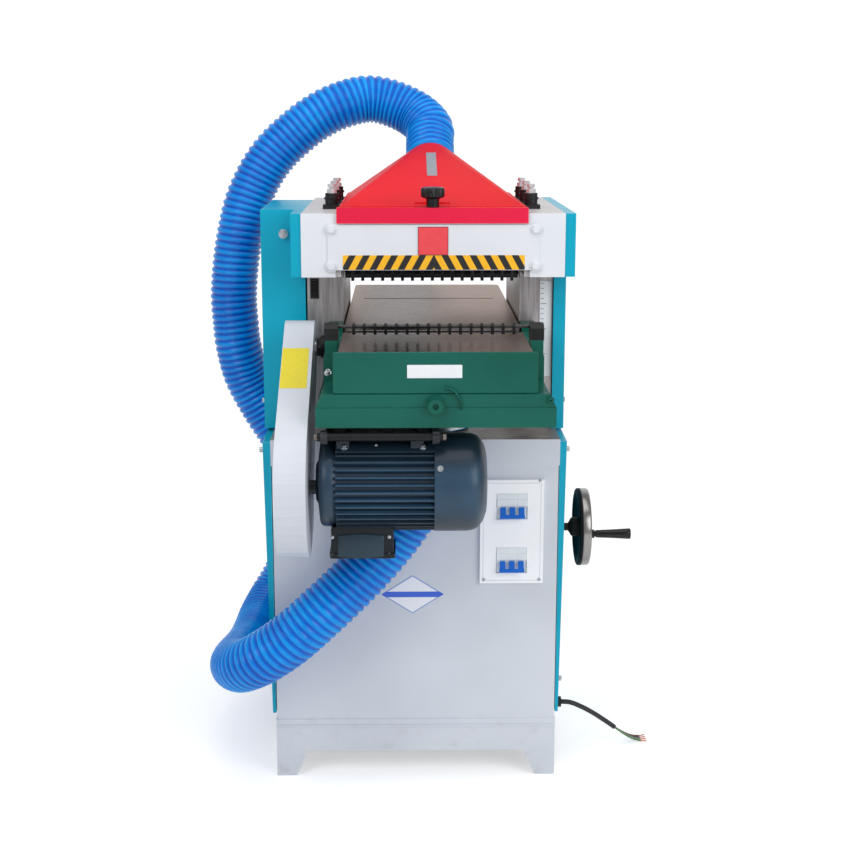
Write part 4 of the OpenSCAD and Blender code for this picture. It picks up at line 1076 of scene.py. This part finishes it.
# Short fingers hang on a thin rod between two blocks, each on its post.
rod_y, rod_z = -0.378, 0.932
rod_ends = (-0.154, 0.221)
finger_count = 16
finger_pitch = 0.0195
finger_x = machine_x + finger_pitch * (np.arange(finger_count) - (finger_count - 1) / 2)
collar = np.radians(np.linspace(-20, 200, 12))
finger = np.vstack((np.stack((rod_y + 0.0056 * np.cos(collar), rod_z + 0.0056 * np.sin(collar)), 1),
                    [(rod_y - 0.0048, rod_z - 0.009), (rod_y - 0.0020, rod_z - 0.0150),
                     (rod_y + 0.0050, rod_z - 0.0155), (rod_y + 0.0062, rod_z - 0.006)]))
hanging_fingers = plates_along_x("hanging_fingers", finger_x, 0.0026, finger)
rod_round = np.linspace(0, 2 * math.pi, 20, endpoint=False)
thin_rod = plates_along_x("thin_rod", (machine_x,), 0.192,
                          np.stack((rod_y + 0.0034 * np.cos(rod_round), rod_z + 0.0034 * np.sin(rod_round)), 1))
rod_blocks = plates_along_x("rod_blocks", rod_ends, 0.0125, [(-0.396, 0.908), (-0.361, 0.908), (-0.361, 0.932),
                                                             (-0.368, 0.938), (-0.388, 0.938), (-0.396, 0.930)])
rod_posts = plates_along_x("rod_posts", rod_ends, 0.0115,
                           [(-0.398, 0.8785), (-0.359, 0.8785), (-0.361, 0.9085), (-0.396, 0.9085)])
rod_grey = metal("rod_grey", (58, 60, 62), (98, 98, 98), 0.36, (10, 1, 1), 90.0)
block_black = moulded("block_black", (14, 15, 16), (24, 25, 27), 0.4)
dress(rod_grey, thin_rod)
dress(block_black, rod_blocks, hanging_fingers)
dress(green_enamel, rod_posts)
fit("table_unit", "dark_steel", thin_rod, rod_blocks)
fit("table_unit", "green", rod_posts)
fit("front_fingers", "dark_steel", hanging_fingers)
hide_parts("finger_rod")
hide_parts("front_fingers")
# The lower cutterhead's bearing is closed by a stepped black cap beside the belt guard.
cap_rows = [(0, 0.0265, 0), (0.004, 0.0265, 0), (0.005, 0.0250, 0), (0.005, 0.0215, 0), (0.011, 0.0215, 0),
            (0.0115, 0.0190, 1), (0.0190, 0.0190, 1), (0.0195, 0.0135, 0)]
bearing_cap = turned("bearing_cap", [(-0.1688, -0.259, 0.876)], (-1, 0, 0), cap_rows)
dress(black_phosphate, bearing_cap)
fit("table_unit", "dark_steel", bearing_cap)

# ---------------------------------------------------------------- Front motor
# A finned aluminium motor under the lower head, in satin grey-blue, with a pressed cowl, a screwed
# pad, and a terminal box whose crowned lid faces the front. It hangs on a black hinge plate.
motor_axis = np.array((-0.179, -0.484, 0.667))
motor_y, motor_z = motor_axis[1:].tolist()
motor_satin = Finish("motor_satin", (34, 54, 70), 0.34, coat=0.1, coat_roughness=0.1, shine=0.3)
x, y, z = motor_satin.axes
cloud = motor_satin.noise(6.0)
texture = motor_satin.noise(320.0, 3.0)
shade = motor_satin.blend(cloud.fade(0.3, 0.75), (36, 62, 84), (48, 80, 104))
# Painted shade: the gaps between the fins are darker, and so are the body's underside and its top.
off_y, off_z = y - motor_y, z - motor_z
fin_gap_shade = 1 - (off_y * off_y + off_z * off_z).root().fade(0.076, 0.086)
underside_shade = 0.85 * (1 - z.fade(0.590, 0.650))
over = 0.8 * z.fade(0.695, 0.735)
motor_satin.colours((fin_gap_shade * 0.5).larger(underside_shade).larger(over), shade, (12, 20, 28))
motor_satin.set("Roughness", 0.3 + 0.16 * texture)
motor_satin.bump(texture, 0.0002)
dress(motor_satin, "main_motor")


def finned_body(name, axis, rows, fins, steps):
    """A body turned about x whose middle stands up in radial fins. Each row is (x, radius, fin height), and a point
    at angle a lies at radius + height * clip(0.5 + 3 (cos(fins a) - 0.35), 0, 1)."""
    a = np.linspace(0, 2 * math.pi, fins * steps, endpoint=False)
    at, radius, height = np.array(rows).T[..., None]
    reach = radius + height * np.clip(0.5 + 3 * (np.cos(fins * a) - 0.35), 0, 1)
    grid = axis + np.stack((at + 0 * reach, reach * np.cos(a), reach * np.sin(a)), -1)
    piece = outward(grid_mesh(name, grid, wrap=True, capped=True))
    piece.data.set_sharp_from_angle(angle=0.6)
    return piece


motor_rows = [(0, 0.014, 0), (0, 0.033, 0), (0.002, 0.036, 0), (0.004, 0.040, 0), (0.008, 0.073, 0),
              (0.010, 0.077, 0), (0.014, 0.0795, 0), (0.030, 0.080, 0), (0.0335, 0.078, 0), (0.037, 0.076, 0),
              (0.0372, 0.076, 0.011), (0.120, 0.076, 0.011), (0.2096, 0.076, 0.011), (0.2098, 0.076, 0),
              (0.2100, 0.0880, 0), (0.2110, 0.0887, 0),
              (0.240, 0.0889, 0), (0.268, 0.0887, 0), (0.277, 0.0876, 0), (0.284, 0.0852, 0), (0.290, 0.0810, 0),
              (0.296, 0.0735, 0), (0.300, 0.0655, 0), (0.3030, 0.0560, 0), (0.304, 0.048, 0), (0.304, 0.010, 0)]
motor_body = finned_body("front_motor_body", motor_axis, motor_rows, 40, 10)
dress(motor_satin, motor_body)
box_x = -0.0965
box_paint = painted("terminal_box_paint", (13, 19, 25), (20, 28, 36), rough=0.34, peel=0.0002)
terminal_box = sheet("terminal_box", (0.0555, 0.0295), 0.006, (box_x, -0.440, 0.5665), (0, -1, 0), 0.0885, 0.0015)
box_flange = sheet("box_flange", (0.0585, 0.0470), 0.006, (box_x, motor_y, 0.5455), (0, 0, -1), 0.0085, 0.001)
dress(box_paint, terminal_box, box_flange)
# The pad and what is screwed to it lean forward from the motor's top by this turn about its axis.
pad_turn = math.radians(33)
pad_out = np.array((0, -math.sin(pad_turn), math.cos(pad_turn)))
pad_foot, pad_face = 0.0755, 0.0878
motor_pad = sheet("motor_pad", (0.0870, 0.0115), 0.002, motor_axis + (0.1235, 0, 0) + pad_foot * pad_out, pad_out,
                  0.0123, 0.001)
motor_feet = plates_along_x("motor_feet", (-0.129, 0.001), 0.011,
                            [(-0.534, 0.727), (-0.434, 0.727), (-0.434, 0.7555), (-0.534, 0.7555)])
dress(motor_satin, motor_pad, motor_feet)
hinge_black = painted("hinge_black", (20, 22, 25), (30, 33, 37), rough=0.42, peel=0.0002)
hinge_y, hinge_z = -0.546, 0.762
hinge_plate = sheet("hinge_plate", (0.095, 0.061), 0.004, (-0.065, -0.483, 0.7553), (0, 0, 1), 0.0117, 0.001)
hinge_pads = plates_along_x("hinge_pads", (-0.135, -0.050, 0.012), 0.010,
                            [(-0.524, 0.7665), (-0.444, 0.7665), (-0.444, 0.7768), (-0.524, 0.7768)])
hinge_rod = turned("hinge_rod", [(0, hinge_y, hinge_z)], (1, 0, 0),
                   [(-0.173, 0.0055, 0), (-0.172, 0.0072, 0), (0.045, 0.0072, 0), (0.046, 0.0055, 0)])
dress(hinge_black, hinge_plate, hinge_pads, hinge_rod)
fit("table_unit", "motor_blue", motor_body, terminal_box, box_flange, motor_pad, motor_feet, hinge_plate, hinge_pads,
    hinge_rod)
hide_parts("front_motor")
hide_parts("motor_mount")

pad_at, _ = place_on("pad_screw", motor_pad)
pad_line = np.array((0, motor_y, motor_z)) + pad_face * pad_out
pad_first = float(pad_at[0])
pad_screws = turned("pad_screws", [pad_line + (pad_first, 0, 0), pad_line + (pad_first + 0.138, 0, 0)], pad_out,
                    cap_screw(0.0042))
rivet_at = pad_line + (pad_first + 0.056, 0, 0) + 0.006 * np.cross(pad_out, (1, 0, 0))
pad_rivet = turned("pad_rivet", [rivet_at], pad_out, dome, sides=24)
cowl_out = np.array((0, -0.880, 0.475))
cowl_screw = turned("cowl_screw", [np.array((0.041, motor_y, motor_z)) + 0.0883 * cowl_out], cowl_out,
                    cap_screw(0.0036))
lid_half = (0.0415, 0.0195)
lid_at, lid_out = place_on("terminal_lid", terminal_box)
# The lid's outline is an oblong whose top and bottom bow out and whose ends are upright.
lid_side = np.linspace(-1, 1, 25)
bow = 0.0030 * (1 - lid_side ** 2)
lid_outline = np.vstack((np.stack((lid_half[0] * lid_side, -lid_half[1] - bow), 1),
                         np.stack((-lid_half[0] * lid_side, lid_half[1] + bow), 1)))
terminal_lid = slab("terminal_lid", lid_outline, lid_at, lid_out, 0.0030, 0.0016, crown=0.0022)
lid_paint = painted("lid_paint", (36, 52, 64), (46, 66, 80), rough=0.3, peel=0.00025, peel_scale=260.0)
dress(lid_paint, terminal_lid)
lid_corner = [lid_at + np.array((sx * 0.0505, 0, sz * 0.0165)) for sx in (-1, 1) for sz in (-1, 1)]
lid_screws = turned("lid_screws", lid_corner, lid_out, dome, sides=24)
dress(zinc_plate, pad_screws, pad_rivet, cowl_screw, lid_screws)
fit("table_unit", "zinc", pad_screws, pad_rivet, cowl_screw, lid_screws)
fit("table_unit", "motor_blue", terminal_lid)
shown["pad_screw"] = ([pad_screws], middle, middle, 2)
shown["terminal_lid"] = ([terminal_lid], middle, middle)

# Two locked nuts clamp the hinge plate on its rod, whose plated ends stand out past them.
nut = [(0, 0.0125, 1), (0.0110, 0.0125, 1), (0.0125, 0.0108, 0), (0.0127, 0.006, 0)]
nut_left = turned("hinge_nut_left", [(-0.155, hinge_y, hinge_z)], (-1, 0, 0), nut)
nut_right = turned("hinge_nut_right", [(0.028, hinge_y, hinge_z)], (1, 0, 0), nut)
tips = [(-0.001, 0.0063, 0), (0.004, 0.0063, 0), (0.005, 0.0052, 0), (0.0052, 0.002, 0)]
tip_left = turned("hinge_tip_left", [(-0.1742, hinge_y, hinge_z)], (-1, 0, 0), tips)
tip_right = turned("hinge_tip_right", [(0.0472, hinge_y, hinge_z)], (1, 0, 0), tips)
dress(blackened, nut_left, nut_right)
rod_steel = metal("rod_steel", (84, 78, 74), (140, 132, 126), 0.34, scale=160.0)
dress(rod_steel, tip_left, tip_right)
fit("table_unit", "dark_steel", nut_left, nut_right, tip_left, tip_right)

# ---------------------------------------------------------------- Belt guard
# A closed sheet box over the lower cutterhead's belt, in the cabinet's grey, with a bare yellow
# sticker on its sloping front.
dress(painted("guard_paint", grey_low, grey_high, box=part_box("belt_guard")), "belt_guard")
guard_half = (0.0245, 0.0565)
guard_at, guard_out = place_on("guard_label", "belt_guard")
guard_label = sheet("guard_label", guard_half, 0.0015, guard_at, guard_out, 0.0005, 0.0002)
dress(film("yellow_film", (222, 204, 20), (214, 196, 14), (230, 214, 30)), guard_label)
fit("table_unit", "panel_grey", guard_label)
shown["guard_label"] = ([guard_label], middle, middle)

# ---------------------------------------------------------------- Handwheel
# A dished cast wheel with a polished rim and a black enamelled dish, keyed on its shaft, and a
# tapered black handle that spins on a blackened pin.
wheel_y, wheel_z = -0.1, 0.472
grip_y = -0.154
wheel_finish = Finish("wheel_rim_and_dish", (180, 184, 188), 0.2, metallic=1.0, shine=0.12)
x, y, z = wheel_finish.axes
off_y, off_z = y - wheel_y, z - wheel_z
from_axis = (off_y * off_y + off_z * off_z).root()
rim_share = from_axis.fade(0.0760, 0.0775) * x.fade(0.3400, 0.3430)
turning = wheel_finish.noise(120.0, 3.0, stretch=(6, 1, 1))
polish = wheel_finish.blend(turning, (122, 120, 118), (152, 150, 148))
hub_share = 1 - from_axis.fade(0.0195, 0.0205)
dark = wheel_finish.blend(hub_share * turning, (13, 15, 17), (84, 74, 66))
wheel_finish.colours(rim_share, dark, polish)
wheel_finish.set("Metallic", rim_share.larger(hub_share * 0.6))
wheel_finish.set("Roughness", 0.18 + 0.08 * turning + 0.34 * (1 - rim_share))
wheel_finish.bump(turning, 0.00006)
wheel_rows = [(0.2985, 0.0290, 0), (0.3010, 0.0285, 0), (0.3040, 0.0240, 0), (0.3060, 0.0105, 0), (0.3080, 0.0080, 0),
              (0.3170, 0.0080, 0), (0.3200, 0.0125, 0), (0.3230, 0.0180, 0), (0.3260, 0.0196, 0), (0.3440, 0.0200, 0),
              (0.3455, 0.0235, 0), (0.3440, 0.0400, 0), (0.3390, 0.0620, 0), (0.3355, 0.0690, 0), (0.3340, 0.0735, 0),
              (0.3340, 0.0775, 0), (0.3352, 0.0795, 0), (0.3372, 0.0800, 0), (0.3540, 0.0800, 0), (0.3568, 0.0788, 0),
              (0.3580, 0.0765, 0), (0.3575, 0.0715, 0), (0.3530, 0.0670, 0), (0.3515, 0.0500, 0), (0.3510, 0.0260, 0),
              (0.3525, 0.0205, 0), (0.3600, 0.0200, 0), (0.3640, 0.0185, 0), (0.3650, 0.0150, 0), (0.3650, 0.0030, 0)]
dished_wheel = turned("dished_wheel", [(0, wheel_y, wheel_z)], (1, 0, 0), wheel_rows, sides=96, smooth=True)
dished_wheel.data.set_sharp_from_angle(angle=0.7)
grip_pin = turned("grip_pin", [(0, grip_y, wheel_z)], (1, 0, 0),
                  [(0.3500, 0.0090, 0), (0.3650, 0.0088, 0), (0.3660, 0.0060, 0), (0.3680, 0.0060, 0)])
dress(wheel_finish, dished_wheel)
fit("handwheel", "steel", dished_wheel, grip_pin)
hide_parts("handwheel")
grip_black = moulded("grip_black", (12, 12, 14), (22, 22, 25), 0.2)
grip_rows = [(0.3675, 0.0052, 0), (0.3680, 0.0072, 0), (0.3700, 0.0078, 0), (0.3900, 0.0085, 0), (0.4200, 0.0100, 0),
             (0.4370, 0.0110, 0), (0.4385, 0.0106, 0), (0.4390, 0.0090, 0), (0.4388, 0.0030, 0)]
handle = turned("tapered_handle", [(0, grip_y, wheel_z)], (1, 0, 0), grip_rows, sides=48, smooth=True)
handle.data.set_sharp_from_angle(angle=0.8)
dress(grip_black, handle, grip_pin)
fit("handle_grip", "black_plastic", handle)
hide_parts("handle_grip")
shown["handwheel"] = ([dished_wheel], middle, middle)

# ---------------------------------------------------------------- Image points
# Where each named point's piece really shows, and how far the pieces reach to each side of the frame.
pieces = [thing for thing in scene.objects if thing.type == "MESH" and not thing.hide_render and thing != backdrop]
cords = {dust_hose, mains_lead, *lead_pieces}
everything = tree_of(*pieces)
eye = camera.location


def can_see(point):
    """Whether nothing stands before a point: the first thing met on the way to it lies within 2 mm of it."""
    way = Vector(point) - eye
    met, _, _, _ = everything.ray_cast(eye, way.normalized())
    return met is None or (met - eye).length > way.length - 0.002


def outermost(axis, sign):
    """The furthest finished vertex that shows, along one axis of the photograph, cords apart."""
    points = np.vstack([finished(thing)[0] for thing in pieces if thing not in cords])
    spots = in_photo(points)[:, axis]
    for i in np.argsort(sign * spots):
        if can_see(points[i]):
            return float(spots[i])


for name, (axis, sign) in {"left": (0, 1), "right": (0, -1), "top": (1, 1), "bottom": (1, -1)}.items():
    round(outermost(axis, sign) - image_points[name][axis], 1)
for name, (things, across, down, *alike) in shown.items():
    points = np.vstack([finished(nodes[t] if isinstance(t, str) else t)[0] for t in things])
    points = points[:len(points) // (alike or [1])[0]]
    points = points[::max(1, len(points) // 1500)]
    spots = in_photo(np.array([p for p in points if can_see(p)] or points))
    round(float(across(spots[:, 0]) - image_points[name][0]), 1)
    round(float(down(spots[:, 1]) - image_points[name][1]), 1)
